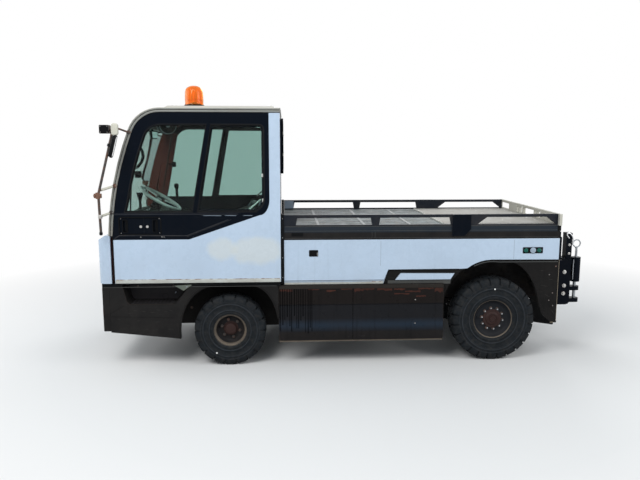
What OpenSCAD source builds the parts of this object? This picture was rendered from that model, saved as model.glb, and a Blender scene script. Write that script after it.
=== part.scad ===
/* [Overall] */
// Distance between the two axles
wheelbase = 2412; // [2200:2:2700]
// Front axle to the nose
front_overhang = 1130; // [1080:10:1300]
// Rear axle to the platform's rear edge
rear_overhang = 593; // [580:1:750]
// Platform's rear edge to the end of the tow coupling
hitch_reach = 565; // [520:5:700]
// Width over the closed doors
cab_w = 1620; // [1560:10:1720]
// Inset of the platform's side panels from the doors' outer planes
bed_inset = 45; // [45:1:80]

/* [Heights] */
// Top of the cab floor
floor_z = 770; // [750:5:800]
// Line where the white door panel meets the black frame at the front
belt_z = 1158; // [1120:2:1200]
// Lower edge of the side glass
glass_z = 1400; // [1380:5:1440]
// Top of the white platform sides
side_top_z = 1139; // [1110:1:1160]
// Top of the ribbed platform floor
deck_z = 1258; // [1230:1:1290]
// Height of the boards around the platform
board_h = 104; // [80:1:160]
// Lower edge of the middle sills
sill_z = 212; // [190:2:240]

/* [Cab] */
// Front axle to the doors' rear edge
cab_back = 460; // [440:5:560]
// Depth of the nose panel
nose_depth = 111; // [90:1:130]
// Nose face to the foot of the windscreen
screen_setback = 99; // [80:1:120]
// Height of the foot of the windscreen
screen_foot_z = 1194; // [1180:2:1230]
// Radius of the windscreen's curve
screen_r = 2880; // [2400:20:3600]
// Lean of the windscreen at its foot, degrees
screen_a0 = 3.4; // [2:0.1:5]
// Lean of the windscreen at its top, degrees
screen_a1 = 22.1; // [20:0.1:24]
// Radius of the curve from windscreen to roof
roof_r = 290; // [260:5:320]
// Rise of the roof's crown above its edges
roof_crown = 40; // [10:1:70]
// Thickness of the cab's walls and posts across the cab
wall_t = 65; // [50:1:80]
// Width of the cab's posts along the cab
post_w = 80; // [60:1:100]
// Thickness of a door
door_t = 38; // [30:1:42]
// Gap between the doors and all that they slide past
door_gap = 7; // [5:0.5:10]
// Travel of a sliding door
door_travel = 750; // [500:10:800]
// Width of the black frame round the side glass
frame_w = 100; // [80:1:120]
// Width of the white strip at the door's rear edge
strip_w = 95; // [80:1:120]
// Width of the raked bar between the two side panes
divider_w = 36; // [24:1:50]
// Thickness of the glass
glass_t = 6; // [4:1:8]

/* [Wheels] */
// Radius of a front tyre over its lugs
front_tyre_r = 322; // [310:1:340]
// Width of a front tyre
front_tyre_w = 190; // [170:1:200]
// Radius of a front rim's lip
front_rim_r = 150; // [140:1:160]
// Radius of a rear tyre over its lugs
rear_tyre_r = 385; // [360:1:395]
// Width of a rear tyre
rear_tyre_w = 214; // [190:1:224]
// Radius of a rear rim's lip
rear_rim_r = 188; // [175:1:200]
// Distance between the front tyres' middle planes
front_track = 1390; // [1370:2:1400]
// Distance between the rear tyres' middle planes
rear_track = 1330; // [1310:2:1344]
// Depth of the tread
tread = 16; // [10:1:22]
// Number of shoulder lugs on a front tyre
front_lugs = 18; // [14:1:22]
// Number of shoulder lugs on a rear tyre
rear_lugs = 24; // [18:1:28]

/* [Steering] */
// Distance between the two kingpins
kingpin_track = 1120; // [1110:2:1126]
// Radius of a kingpin
kingpin_r = 18; // [14:1:20]
// Length of the steering arms behind the kingpins
arm_l = 150; // [140:1:156]
// Radius of the steering wheel
steer_r = 215; // [190:1:230]
// Slope of the steering wheel's plane, degrees
steer_tilt = 31; // [25:1:38]

/* [Tow coupling] */
// Radius of the tow pin
pin_r = 16; // [12:1:20]
// Radius of the pin's housing
housing_r = 48; // [42:1:54]
// Lift of the tow pin
pin_lift = 130; // [128:1:140]
// Gap between the coupling's upper and lower jaws
jaw_gap = 84; // [70:1:100]
// Radius of the bore in the front towing jaw
tow_bore_r = 17; // [12:0.5:20]

/* [Hidden] */

$fn = 48;
white = "#c9d6e6";
black = "#1e1c1c";
frame_black = "#181b22";
cream = "#cfc9b4";
steel_grey = "#8a8f8d";
rust_brown = "#4a2a22";
dark_rubber = "#2b2b2c";
beige = "#b8aa90";
glass_tint = [0.45, 0.65, 0.6, 0.4];

// Stations along the vehicle, forward is +X
x_nose = (front_overhang + wheelbase + rear_overhang + hitch_reach) / 2;
x_front = x_nose - front_overhang;
x_rear = x_front - wheelbase;
x_tail = x_rear - rear_overhang;
x_mark = x_rear + 12;
x_board = x_tail + 10;
x_end = x_tail - hitch_reach;
x_cab = x_front - cab_back;
x_foot = x_nose - screen_setback;
x_nose_back = x_nose - nose_depth;
wall_x = 40;
bed_gap = 30;
x_bed = x_cab - bed_gap;
x_bumper = x_nose - 22;

// Planes across the vehicle, outwards is +Y
y_door = cab_w / 2;
y_cab = y_door - door_t - door_gap;
y_bed = y_door - bed_inset;
sheet = 30;
run = 0.3;
bed_t = 30;
rail_w = 60;
rail_y = 350;
rail_z = 500;
rail_h = 140;
y_front = front_track / 2;
y_back = rear_track / 2;
y_king = kingpin_track / 2;

// Heights that follow from the sizes above
floor_t = 36;
skirt_top = floor_z - floor_t;
door_low = floor_z + run;
board_top = deck_z + board_h;
plate_t = 10;

// The cab's side outline: windscreen arc, then the arc up to the roof
screen_c = [x_foot - screen_r * cos(screen_a0), screen_foot_z - screen_r * sin(screen_a0)];
corner_c = screen_c + (screen_r - roof_r) * [cos(screen_a1), sin(screen_a1)];
roof_z = corner_c[1] + roof_r;
roof_edge = 37;
door_inset = roof_edge + 5;
skin = 12;
function arc(c, r, a0, a1, n) = [for (i = [0:n]) let (a = a0 + (a1 - a0) * i / n) c + r * [cos(a), sin(a)]];
function oval(c, a, b, t0, t1, n) =
    [for (i = [0:n]) let (t = t0 + (t1 - t0) * i / n) c + [a * cos(t), b * sin(t)]];
function reverse(p) = [for (i = [len(p) - 1:-1:0]) p[i]];
function screen_line(d) = arc(screen_c, screen_r - d, screen_a0, screen_a1, 6);
function corner_line(d) = arc(corner_c, roof_r - d, screen_a1, 90, 8);
function cab_line(d) = concat(screen_line(d), [for (i = [1:8]) corner_line(d)[i]]);
function cab_side(d, x_back, z_low) = concat([[x_back, z_low], [x_foot - d, z_low]], cab_line(d),
    [[x_back, roof_z - d]]);

// Outlines of the wheel arches
front_arch_w = 870;
arch_low = 40;
front_arch_top = skirt_top;
function front_arch() = concat(
    oval([x_front + front_arch_w / 2 - 310, front_arch_top - 400], 310, 400, 0, 90, 8),
    oval([x_front - front_arch_w / 2 + 240, front_arch_top - 400], 240, 400, 90, 180, 8),
    [[x_front - front_arch_w / 2, arch_low], [x_front + front_arch_w / 2, arch_low]]);
rear_arch_front = 465;
rear_arch_top = 925;
tail_low = 345;
function rear_arch() = concat(
    oval([x_mark + rear_arch_front - 400, rear_arch_top - 420], 400, 420, 0, 90, 8),
    oval([x_mark - 120, rear_arch_top - 560], 330, 560, 90, 165, 8),
    oval([x_tail - 15, tail_low + 215], 180, 215, -15, -90, 5),
    [[x_tail - 50, tail_low], [x_tail - 50, arch_low], [x_mark + rear_arch_front, arch_low]]);

module block(x, y, z) {
    translate([x[0], y[0], z[0]]) cube([x[1] - x[0], y[1] - y[0], z[1] - z[0]]);
}

// Stands an outline drawn in X and Z between two planes across the vehicle
module across(y0, y1) {
    translate([0, y1, 0]) rotate([90, 0, 0]) linear_extrude(y1 - y0) children();
}

// Runs an outline drawn in Y and Z along the vehicle
module along(x0, x1) {
    translate([x0, 0, 0]) rotate([90, 0, 90]) linear_extrude(x1 - x0) children();
}

module both_sides() {
    children();
    mirror([0, 1, 0]) children();
}

module rounded(w, h, r) {
    translate([r, 0]) square([w - 2 * r, h]);
    translate([0, r]) square([w, h - 2 * r]);
    for (u = [r, w - r], v = [r, h - r]) translate([u, v]) circle(r, $fn = 32);
}

// Frame rails; the cross members between them; outriggers that carry the cab, skirts and sills
engine_x = [x_front - 1120, x_front - 560];
engine_w = 550;
engine_top = floor_z + 290;
cross_w = 60;
cross_x = [x_tail + cross_w, x_mark + 520, engine_x[0] + 30, engine_x[1] - 90, x_front + 520, x_nose - 150];
rail_in = rail_y - rail_w;
module frame_rails() {
    color(black) both_sides()
        block([x_tail + 32, x_bumper - 60], [rail_in, rail_y], [rail_z, rail_z + rail_h]);
}

module cross_members() {
    color(black) {
        for (x = cross_x) block([x, x + cross_w], [-rail_in, rail_in], [rail_z + 10, rail_z + 80]);
        both_sides() for (s = spring_table) hangers(s);
    }
}

cab_arms = [x_front - 430, x_front + 270];
sill_arms = [x_mark + 620, x_mark + 1262, x_front - 690];
module outriggers() {
    color(black) both_sides() {
        for (x = cab_arms) outrigger(x, y_cab - 60, skirt_top);
        for (x = sill_arms) outrigger(x, sill_y - 30, skirt_top - 12);
    }
}

module outrigger(x, reach, top) {
    block([x, x + cross_w], [rail_in, rail_y], [rail_z + rail_h, top]);
    block([x, x + cross_w], [rail_y, reach], [top - 40, top]);
}

// Leaf springs: axle place, half length, underside, number of leaves
spring_table = [
    [x_front, 400, front_axle_z() + 50, 3],
    [x_rear, 450, rear_tyre_r + 62, 4]];
leaf_t = 11;
spring_y = [rail_y - 55, rail_y - 5];
function front_axle_z() = front_tyre_r;
module hangers(s) {
    top = s[2] + leaf_t * s[3];
    for (side = [-1, 1]) {
        x = s[0] + side * s[1];
        block([x - 22, x + 22], spring_y, [top, rail_z]);
    }
}

module leaf_springs() {
    color("#2c2a29") both_sides() for (s = spring_table) {
        for (i = [0:s[3] - 1]) {
            reach = s[1] + 22 - (s[3] - 1 - i) * 105;
            block([s[0] - reach, s[0] + reach], spring_y, [s[2] + i * leaf_t, s[2] + (i + 1) * leaf_t]);
        }
    }
}

module engine_block() {
    color("#5b5f5e") block(engine_x, [-engine_w / 2, engine_w / 2], [rail_z + 80, engine_top]);
}

// Forged beam with spring seats and an eye for each kingpin
axle_eye_r = 38;
axle_eye_h = 100;
module front_axle() {
    z = front_axle_z();
    color("#252322") difference() {
        union() {
            block([x_front - 12, x_front + 12], [-y_king + 30, y_king - 30], [z - 50, z + 35]);
            block([x_front - 35, x_front + 35], [-y_king + 45, y_king - 45], [z + 20, z + 40]);
            block([x_front - 35, x_front + 35], [-y_king + 45, y_king - 45], [z - 50, z - 32]);
            both_sides() {
                block([x_front - 55, x_front + 55], spring_y, [z + 30, z + 50]);
                translate([x_front, y_king, z - axle_eye_h / 2]) cylinder(r = axle_eye_r, h = axle_eye_h);
            }
        }
        both_sides() translate([x_front, y_king, z - axle_eye_h / 2 - 1])
            cylinder(r = kingpin_r + run, h = axle_eye_h + 2);
    }
}

// Fork round the axle's eye, kingpin, wheel spindle and steering arm
spindle_r = 30;
fork_z = 32;
arm_z = front_tyre_r - axle_eye_h / 2 - fork_z;
ball_r = 10;
front_dish = 0;
front_hub = 55;
rear_dish = 48;
rear_hub = 90;
module knuckle() {
    z = front_axle_z();
    half = axle_eye_h / 2;
    color("#2a2826") {
        for (u = [z + half + run, z - half - run - fork_z]) {
            translate([x_front, y_king, u]) cylinder(r = axle_eye_r - 3, h = fork_z);
            block([x_front - 32, x_front + 32], [y_king, y_king + 62], [u, u + fork_z]);
        }
        translate([x_front, y_king, z - half - fork_z]) cylinder(r = kingpin_r, h = axle_eye_h + 2 * fork_z);
        block([x_front - 45, x_front + 45], [y_king + 44, y_king + 62],
            [z - half - fork_z, z + half + fork_z]);
        translate([x_front, y_king + 60, z]) rotate([-90, 0, 0])
            cylinder(r = spindle_r, h = y_front + front_dish - y_king - 60);
        block([x_front - arm_l, x_front - 20], [y_king - 15, y_king + 15], [arm_z - 2, arm_z + 20]);
        translate([x_front - arm_l, y_king, arm_z - 2]) cylinder(r = 20, h = 22);
        translate([x_front - arm_l, y_king, arm_z]) cylinder(r = ball_r, h = 60);
    }
}

// Rod between the steering arms, with an eye over each arm's pin
rod_z = arm_z + 20 + run;
module tie_rod() {
    x = x_front - arm_l;
    color("#3a3836") difference() {
        union() {
            translate([x, -y_king, rod_z + 17]) rotate([-90, 0, 0]) cylinder(r = 13, h = 2 * y_king);
            both_sides() translate([x, y_king, rod_z]) cylinder(r = 22, h = 34);
        }
        both_sides() translate([x, y_king, rod_z - 1]) cylinder(r = ball_r + run, h = 40);
    }
}

// Tube housing with differential and a stub for each wheel
module rear_axle() {
    color("#252322") {
        translate([x_rear, 0, rear_tyre_r]) {
            rotate([-90, 0, 0]) translate([0, 0, -y_back + 100]) cylinder(r = 55, h = 2 * y_back - 200);
            rotate([-90, 0, 0]) translate([0, 0, -y_back - rear_dish])
                cylinder(r = spindle_r + 5, h = 2 * (y_back + rear_dish));
            sphere(150);
            rotate([0, 90, 0]) cylinder(r = 70, h = 210);
        }
        both_sides() block([x_rear - 60, x_rear + 60], spring_y, [rear_tyre_r + 30, rear_tyre_r + 62]);
    }
}

// Tyre as a body of revolution with shoulder lugs: radius, width, rim radius, lug count
module tyre(r, w, rim, lugs) {
    base = r - tread;
    color(dark_rubber) rotate([-90, 0, 0]) {
        rotate_extrude($fn = 72) polygon([[rim - 12, -w * 0.36], [rim + 12, -w * 0.42],
            [(rim + base) / 2, -w / 2], [base - 22, -w * 0.465], [base, -w * 0.36], [base, w * 0.36],
            [base - 22, w * 0.465], [(rim + base) / 2, w / 2], [rim + 12, w * 0.42], [rim - 12, w * 0.36]]);
        for (side = [-1, 1], i = [0:lugs - 1])
            lug(r, w, side, (i + (side + 1) / 4) * 360 / lugs, 360 / lugs);
    }
}

// One lug: its flat top's corners lie on the tyre's outer radius
module lug(r, w, side, turn, pitch) {
    half = r * sin(pitch * 0.31);
    lean = w * 0.05;
    foot = r - tread - 18;
    top = sqrt(pow(r, 2) - pow(half + lean, 2));
    rotate([0, 0, turn]) mirror([0, 0, side < 0 ? 1 : 0]) rotate([90, 0, 90]) translate([0, 0, foot])
        linear_extrude(top - foot) polygon([[-half, w * 0.44], [half, w * 0.44],
            [half * 0.85 + lean, w * 0.02], [-half * 0.85 + lean, w * 0.02]]);
}

// Rim with a dished disc, hub and bore for the spindle: lip radius, width, disc place, spindle radius
module rim(r, w, dish, hub, bore, cap) {
    half = w * 0.36;
    color(beige) rotate([-90, 0, 0]) difference() {
        rotate_extrude($fn = 72) polygon([[bore, dish - hub], [bore + 26, dish - hub], [bore + 26, dish - 14],
            [r - 32, dish - 14], [r - 30, -half], [r - 12, -half - 8], [r, -half - 8], [r - 12, -half],
            [r - 12, half], [r, half + 8], [r - 12, half + 8], [r - 24, half], [r - 32, dish + 4],
            [cap + 18, dish], [cap + 8, dish + 22], [cap, dish + 26], [0, dish + 26], [0, dish + 4],
            [bore, dish + 4]]);
    }
}

// Black front skirt: bumper beam, side plates with step wells and a towing jaw
step_z = 578;
well_d = 190;
function step_outline(d) = [[x_nose - 198 + d, skirt_top + 1], [x_nose - 231 + d, step_z + 24],
    [x_nose - 255 + d, step_z - d], [x_front + 480 - d, step_z - d], [x_front + 399 - d, step_z + 95],
    [x_front + 350 - d, skirt_top + 1]];
skirt_low = [257, 325, 336];
spandrel_z = 430;
function skirt_side() = [[x_front, skirt_low[0]], [x_front + front_arch_w / 2, skirt_low[0]],
    [x_bumper - beam_t, skirt_low[1]], [x_bumper - beam_t, skirt_top],
    [x_front - front_arch_w / 2, skirt_top], [x_front - front_arch_w / 2, spandrel_z],
    [x_front, spandrel_z]];
jaw_x = x_bumper - 48;
beam_t = 60;
jaw_w = 70;
module front_bumper() {
    color(black) difference() {
        union() {
            block([x_bumper - beam_t, x_bumper], [-y_skirt, y_skirt], [skirt_low[2], skirt_top]);
            block([jaw_x - 12, x_bumper - 5], [-jaw_w - 30, jaw_w + 30], [skirt_low[2], 500]);
        }
        block([x_bumper - beam_t - 32, x_nose], [-jaw_w, jaw_w], [200, 384]);
        block([x_bumper - beam_t - 32, x_nose], [-jaw_w, jaw_w], [404, 466]);
        translate([jaw_x, 0, 300]) cylinder(r = tow_bore_r, h = 190);
    }
}

y_skirt = y_door - 12;
y_well = y_skirt - well_d;
module skirt_sides() {
    color(black) both_sides() difference() {
        across(y_skirt - sheet, y_skirt) polygon(skirt_side());
        across(0, y_door) polygon(front_arch());
        across(0, y_door) polygon(step_outline(0));
    }
}

// Trays behind the openings in the skirt, to step on
module step_wells() {
    color(black) both_sides() difference() {
        across(y_well, y_skirt - sheet) polygon(step_outline(10));
        across(y_well + 10, y_skirt) polygon(step_outline(0));
        block([x_front, x_nose], [0, y_door], [skirt_top, floor_z]);
    }
}

// White nose: a folded panel that closes the cab below the windscreen
nose_top = screen_foot_z - 2;
function nose_side(d) = [[x_nose_back, floor_z - 1 + d], [x_nose - d, floor_z - 1 + d],
    [x_nose - d, side_top_z + 16 - d * 0.5], [x_nose - 17 - d, side_top_z + 22 - d * 0.8],
    [x_nose - 62 - d * 0.3, nose_top - d], [x_nose_back, nose_top - d]];
module nose_panel() {
    color(white) difference() {
        intersection() {
            across(-y_door, y_door) polygon(nose_side(0));
            nose_plan(0);
            block([x_nose_back, x_nose], [-y_door, y_door], [floor_z, nose_top]);
        }
        intersection() {
            across(-y_door, y_door) polygon(nose_side(sheet));
            nose_plan(sheet);
        }
        block([x_nose_back - 1, x_nose - sheet], [-y_door + sheet, y_door - sheet],
            [floor_z - 1, floor_z + 200]);
    }
}

module nose_plan(d) {
    r = 60;
    translate([0, 0, floor_z - 5]) linear_extrude(500) {
        translate([x_nose_back - 1, -y_door + d]) square([nose_depth + 1 - r, cab_w - 2 * d]);
        translate([x_nose_back - 1, -y_door + r]) square([nose_depth + 1 - d, cab_w - 2 * r]);
        for (s = [-1, 1]) translate([x_nose - r, s * (y_door - r)]) circle(r - d);
    }
}

// Square headlamps let into the bumper beam
lamp_y = 560;
lamp_z = 640;
module headlamps() {
    color("#d8dbe0") both_sides() translate([x_bumper, lamp_y - 90, lamp_z - 55]) rotate([90, 0, 90])
        linear_extrude(12) rounded(180, 110, 24);
}

module cab_floor() {
    color(black) {
        difference() {
            block([x_cab, x_bumper], [-y_door + 10, y_door - 10], [skirt_top, floor_z]);
            both_sides() across(y_well + 10, y_door + 1) polygon([[x_nose - 198, floor_z - 60],
                [x_front + 350, floor_z - 60], [x_front + 350, floor_z - 12], [x_nose - 198, floor_z - 12]]);
        }
    }
}

x_cowl = x_nose_back - 70;

// Welded frame: two side rings, cowl beam and header above the windscreen
function ring_hole() = concat([[x_cab + post_w, floor_z + 30], [x_foot - post_w - skin, floor_z + 30]],
    cab_line(post_w + skin), [[x_cab + post_w, roof_z - post_w - skin]]);
module cab_frame() {
    color(rust_brown) {
        both_sides() difference() {
            across(y_cab - wall_t, y_cab) polygon(concat([[x_cab, floor_z], [x_foot - skin - 1, floor_z],
                [x_foot - skin - 1, screen_foot_z - 4]], cab_line(skin), [[x_cab, roof_z - skin]]));
            across(0, y_cab + 1) polygon(ring_hole());
        }
        block([x_cowl, x_nose_back], [-y_cab + wall_t, y_cab - wall_t],
            [screen_foot_z - 84, screen_foot_z - 4]);
        across(-y_cab + wall_t, y_cab - wall_t) polygon(concat([for (i = [1:5]) corner_line(skin)[i]],
            [for (i = [5:-1:1]) corner_line(skin + 45)[i]]));
    }
}

// Rear wall of the cab with its window cut through
window_y = 520;
window_z = [1740, roof_z - 100];
module window_outline(d) {
    translate([-window_y + d, window_z[0] + d])
        rounded(2 * (window_y - d), window_z[1] - window_z[0] - 2 * d, 60 - d);
}

module rear_wall() {
    color(frame_black) difference() {
        union() {
            block([x_cab, x_cab + wall_x], [-y_cab + wall_t, y_cab - wall_t], [floor_z, roof_z - skin]);
            along(x_cab - 26, x_cab + 2) window_outline(-26);
        }
        along(x_cab - 27, x_cab + wall_x + 1) window_outline(0);
    }
}

module rear_window() {
    color(glass_tint) along(x_cab + 14, x_cab + 14 + glass_t) window_outline(0);
}

screen_t = 8;
module windscreen() {
    color(glass_tint) intersection() {
        across(-y_cab + 25, y_cab - 25)
            polygon(concat(screen_line(skin - screen_t), reverse(screen_line(skin))));
        block([0, x_nose], [-y_door, y_door], [screen_foot_z + 26, corner_line(skin)[0][1] - 2]);
    }
}

// Cream roof shell with drip strips that run down both windscreen posts
module roof() {
    crown = [[-y_door, roof_z - roof_edge], [-y_door, roof_z], [-y_door * 0.8, roof_z + roof_crown * 0.6],
        [-y_door * 0.45, roof_z + roof_crown], [y_door * 0.45, roof_z + roof_crown],
        [y_door * 0.8, roof_z + roof_crown * 0.6], [y_door, roof_z], [y_door, roof_z - roof_edge]];
    color(cream) difference() {
        union() {
            across(-y_door, y_door) polygon(concat(corner_line(0),
                [[x_cab, roof_z], [x_cab, roof_z - roof_edge]],
                reverse(corner_line(roof_edge))));
            along(x_cab + 60, corner_c[0] - 40) polygon(crown);
            both_sides() across(y_cab, y_door)
                polygon(concat(screen_line(0), reverse(screen_line(roof_edge))));
        }
        across(-y_cab, y_cab) polygon(cab_side(skin, x_cab - 1, floor_z));
    }
}

// Wiper parked on the windscreen, with its spindle on the nose
wiper_l = 470;
module wiper() {
    a = screen_a0 + 5.5;
    mid = screen_c + (screen_r - skin + screen_t + run) * [cos(a), sin(a)];
    color("#141414") {
        translate([mid[0], 60, mid[1]]) rotate([0, -a, 0]) rotate([-20, 0, 0]) {
            block([0, 7], [-3, 9], [-wiper_l / 2, wiper_l / 2]);
            block([7, 12], [-8, 14], [-wiper_l / 2, 40]);
        }
        tube([x_foot + 4, 140, screen_foot_z + 44], [x_foot + 12, 140, nose_top + 2], 7);
        translate([x_foot + 12, 140, nose_top]) cylinder(r = 16, h = 12);
    }
}

// Flashing beacon on the middle of the roof
beacon_r = 90;
beacon_h = 212;
module beacon() {
    x = x_front + 372;
    z = roof_z + roof_crown;
    color("#ff7a1a") translate([x, 0, z]) {
        rotate_extrude() polygon(concat([[0, 0], [118, 0], [118, 10], [100, 16], [94, 28], [beacon_r, 32]],
            oval([beacon_r - 54, beacon_h - 44], 50, 44, 0, 90, 5), [[0, beacon_h]]));
    }
}

// Mirror tube beside each windscreen post, on two standoffs and a top bracket
tube_r = 11;
mirror_y = y_door + 95;
mirror_foot = [x_nose - 62, mirror_y, screen_foot_z + 366];
mirror_top = [x_nose - 205, mirror_y, screen_foot_z + 896];
mirror_lean = atan2(mirror_foot[0] - mirror_top[0], mirror_top[2] - mirror_foot[2]);
mirror_path = [[x_nose - 68, mirror_y, screen_foot_z + 46], mirror_foot, mirror_top,
    mirror_top + [-30, -14, 22]];
top_box = mirror_top + [62, 0, 2];
module tube(a, b, r) {
    v = b - a;
    l = norm(v);
    translate(a) rotate([0, acos(v[2] / l), atan2(v[1], v[0])]) cylinder(r = r, h = l, $fn = 24);
}

// Standoff from a flange on the drip strip to a point of the mirror tube
function strip_x(z) = screen_c[0] + sqrt(pow(screen_r - roof_edge / 2, 2) - pow(z - screen_c[1], 2));
module standoff(z, end) {
    translate([strip_x(z), y_door, z]) rotate([-90, 0, 0]) cylinder(r = 18, h = 9);
    tube([strip_x(z), y_door + 7, z], end, 8);
}

module mirror_arms() {
    color("#17181a") {
        standoff(screen_foot_z + 433, [mirror_foot[0] - 9, mirror_y, screen_foot_z + 398]);
        mirror([0, 1, 0]) standoff(screen_foot_z + 290, [mirror_foot[0] - 1, mirror_y, screen_foot_z + 330]);
        both_sides() mirror_tube();
    }
}

module mirror_tube() {
    for (i = [0:len(mirror_path) - 2]) tube(mirror_path[i], mirror_path[i + 1], tube_r);
    for (i = [1:len(mirror_path) - 1]) translate(mirror_path[i]) sphere(tube_r + 2, $fn = 24);
    standoff(screen_foot_z + 203, [mirror_foot[0] - 4, mirror_y, screen_foot_z + 179]);
    standoff(screen_foot_z + 885, mirror_path[3]);
    tube(mirror_top, top_box + [0, 0, 10], 8);
    translate(top_box + [-39, -35, -26]) rotate([90, 0, 0]) translate([0, 0, -70]) linear_extrude(70)
        rounded(78, 71, 8);
}

// Heads hang behind the tube: distance up the tube, height, width
head_reach = 105;
module mirror_heads() {
    color("#cfd3d2") {
        mirror([0, 1, 0]) mirror_head(14, 520, 230);
        mirror_head(330, 165, 150);
        translate(mirror_top + [-54, tube_r + 2 + run + 26, -41]) rotate([90, 0, 0]) linear_extrude(26)
            rounded(60, 102, 24);
    }
}

module mirror_head(up, h, w) {
    translate(mirror_foot) rotate([0, -mirror_lean, 0]) rotate([0, 0, 25])
        translate([-tube_r - 32 - run, 0, up])
        rotate([90, 0, 90]) linear_extrude(32) translate([head_reach - w, 0]) rounded(w, h, 40);
}

// Dashboard with binnacle and the fixed column that carries the steering wheel
dash_top = glass_z - 75;
wheel_c = [x_front + 660, 350, 1480];
column_axis = [-sin(steer_tilt), 0, cos(steer_tilt)];
module dashboard() {
    color("#1c1d1f") {
        across(-y_cab + wall_t, y_cab - wall_t) polygon([[x_cowl, dash_top - 250],
            [x_cowl, screen_foot_z - 4],
            [x_nose_back - 14, screen_foot_z - 4], [x_nose_back - 20, screen_foot_z + 30],
            [x_nose_back - 120, dash_top], [x_nose_back - 280, dash_top - 30],
            [x_nose_back - 300, dash_top - 130], [x_nose_back - 120, dash_top - 250]]);
        across(wheel_c[1] - 170, wheel_c[1] + 170) polygon([[x_nose_back - 120, dash_top - 20],
            [x_nose_back - 130, dash_top + 60], [x_nose_back - 220, dash_top + 70],
            [x_nose_back - 270, dash_top - 40]]);
        tube(wheel_c - 18 * column_axis, wheel_c - 420 * column_axis, 38);
        block([x_cowl - 20, x_cowl], [-y_cab + wall_t, y_cab - wall_t], [floor_z, dash_top - 200]);
    }
}

module steering_wheel() {
    color("#2a2c2d") translate(wheel_c) rotate([0, -steer_tilt, 0]) {
        rotate_extrude() translate([steer_r - 15, 0]) circle(15, $fn = 24);
        translate([0, 0, -17.7]) cylinder(r = 42, h = 40);
        for (a = [90, 210, 330]) rotate([0, 0, a]) translate([0, 0, -5])
            block([30, steer_r - 12], [-14, 14], [0, 10]);
    }
}

// Two seats with low backs on a common box
seat_z = floor_z + 400;
module seats() {
    color("#26282b") for (y = [-360, 350]) {
        translate([x_front - 50, y - 240, seat_z - 90]) rotate([90, 0, 90])
            linear_extrude(470) rounded(480, 110, 40);
        translate([x_front - 50, y - 230, seat_z - 80]) rotate([0, -12, 0]) translate([-110, 0, 0])
            rotate([90, 0, 90]) linear_extrude(100) rounded(460, 330, 60);
    }
    color("#1c1d1f") block([x_front - 130, x_front + 380], [-640, 640], [floor_z, seat_z - 90]);
}

// Levers beside the driver and a round fan under the roof, as place and height
lever_table = [[x_front + 530, 60, 800], [x_front + 440, 90, 560]];
fan_r = 79;
fan_c = [x_front + 563, 450, roof_z - skin - 128];
module cab_controls() {
    color("#17181a") {
        for (s = lever_table) {
            translate([s[0], s[1], floor_z]) cylinder(r = 24, h = 9);
            tube([s[0], s[1], floor_z + 5], [s[0] + 30, s[1], floor_z + s[2]], 8);
            translate([s[0] + 30, s[1], floor_z + s[2]]) sphere(22, $fn = 24);
        }
        translate(fan_c) rotate([0, 90, -60]) translate([0, 0, -30]) cylinder(r = fan_r, h = 60);
        intersection() {
            translate(fan_c) cylinder(r = 12, h = 150);
            across(-y_cab, y_cab) polygon(cab_side(skin, x_cab, floor_z));
        }
    }
}

// Middle sills below the platform, bent from sheet, two panels a side
sill_y = y_door - 20;
sill_split = [x_mark + rear_arch_front, x_mark + 1292, x_front - front_arch_w / 2 - 2];
sill_drop = sill_z - skirt_top;
sill_bend = [[-95, 0], [-20, 0], [0, -30], [0, -178], [-9, -188], [2, -290], [16, -404], [16, -484],
    [4, sill_drop], [-14, sill_drop], [2, -482], [2, -406], [-12, -292], [-23, -186], [-14, -174],
    [-14, -32], [-26, -12], [-95, -12]];
module sills() {
    color(black) both_sides() for (i = [0, 1])
        along(sill_split[i] + (i == 0 ? 0 : 3), sill_split[i + 1])
            translate([sill_y, skirt_top]) polygon(sill_bend);
}

// White platform sides with the stepped lower edge over the sill
trim_z = 864;
step_x = x_mark + 1017;
function side_outline() = concat([[x_bed, skirt_top + 2], [x_bed, side_top_z], [x_board, side_top_z],
    [x_board, rear_arch_top + 18], [x_mark + 30, rear_arch_top + 22]],
    arc([x_mark + 20, rear_arch_top - 350], 372, 80, 52, 4),
    [[x_mark + 320, trim_z], [step_x - 46, trim_z - 2], [step_x, skirt_top + 2]]);
module bed_sides() {
    color(white) both_sides() {
        across(y_bed - bed_t, y_bed) polygon(side_outline());
        across(y_arch, y_bed + 1) polygon([[step_x - 108, 768], [step_x - 156, 830], [step_x - 652, 825],
            [step_x - 615, 768]]);
    }
}

// Black panels round the rear wheels with the rear corners
y_arch = y_bed - 12;
panel_top = rear_arch_top + 25;
module arch_panels() {
    color(black) both_sides() difference() {
        across(y_bed - bed_t - 20, y_arch) polygon([[step_x + 60, skirt_top], [step_x + 60, panel_top],
            [x_tail, panel_top], [x_tail, arch_low + 5], [x_mark + rear_arch_front, arch_low + 5],
            [x_mark + rear_arch_front, skirt_top]]);
        across(0, y_bed) polygon(rear_arch());
        across(y_bed - bed_t, y_bed + 1) polygon(side_outline());
    }
}

// Frame under the platform: side channels, bearers across, posts on the rails and the front bulkhead
channel_w = 57;
channel_y = [y_bed - 3 - channel_w, y_bed - 3];
bearer_h = 60;
bulkhead_t = 12;
post_x = [x_tail + 100, x_mark + rear_arch_front + 60, x_bed - bulkhead_t - cross_w];
bearer_x = concat([x_board], post_x, [for (i = [0, 1]) (post_x[i] + post_x[i + 1]) / 2]);
bearer_z = [deck_z - 20 - bearer_h, deck_z - 20];
module bed_channels() {
    color(frame_black) both_sides() block([x_board, x_bed], channel_y, [side_top_z, deck_z]);
}

module bed_bearers() {
    color(frame_black) for (x = bearer_x)
        block([x, x + cross_w], [-channel_y[0], channel_y[0]], bearer_z);
}

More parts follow.
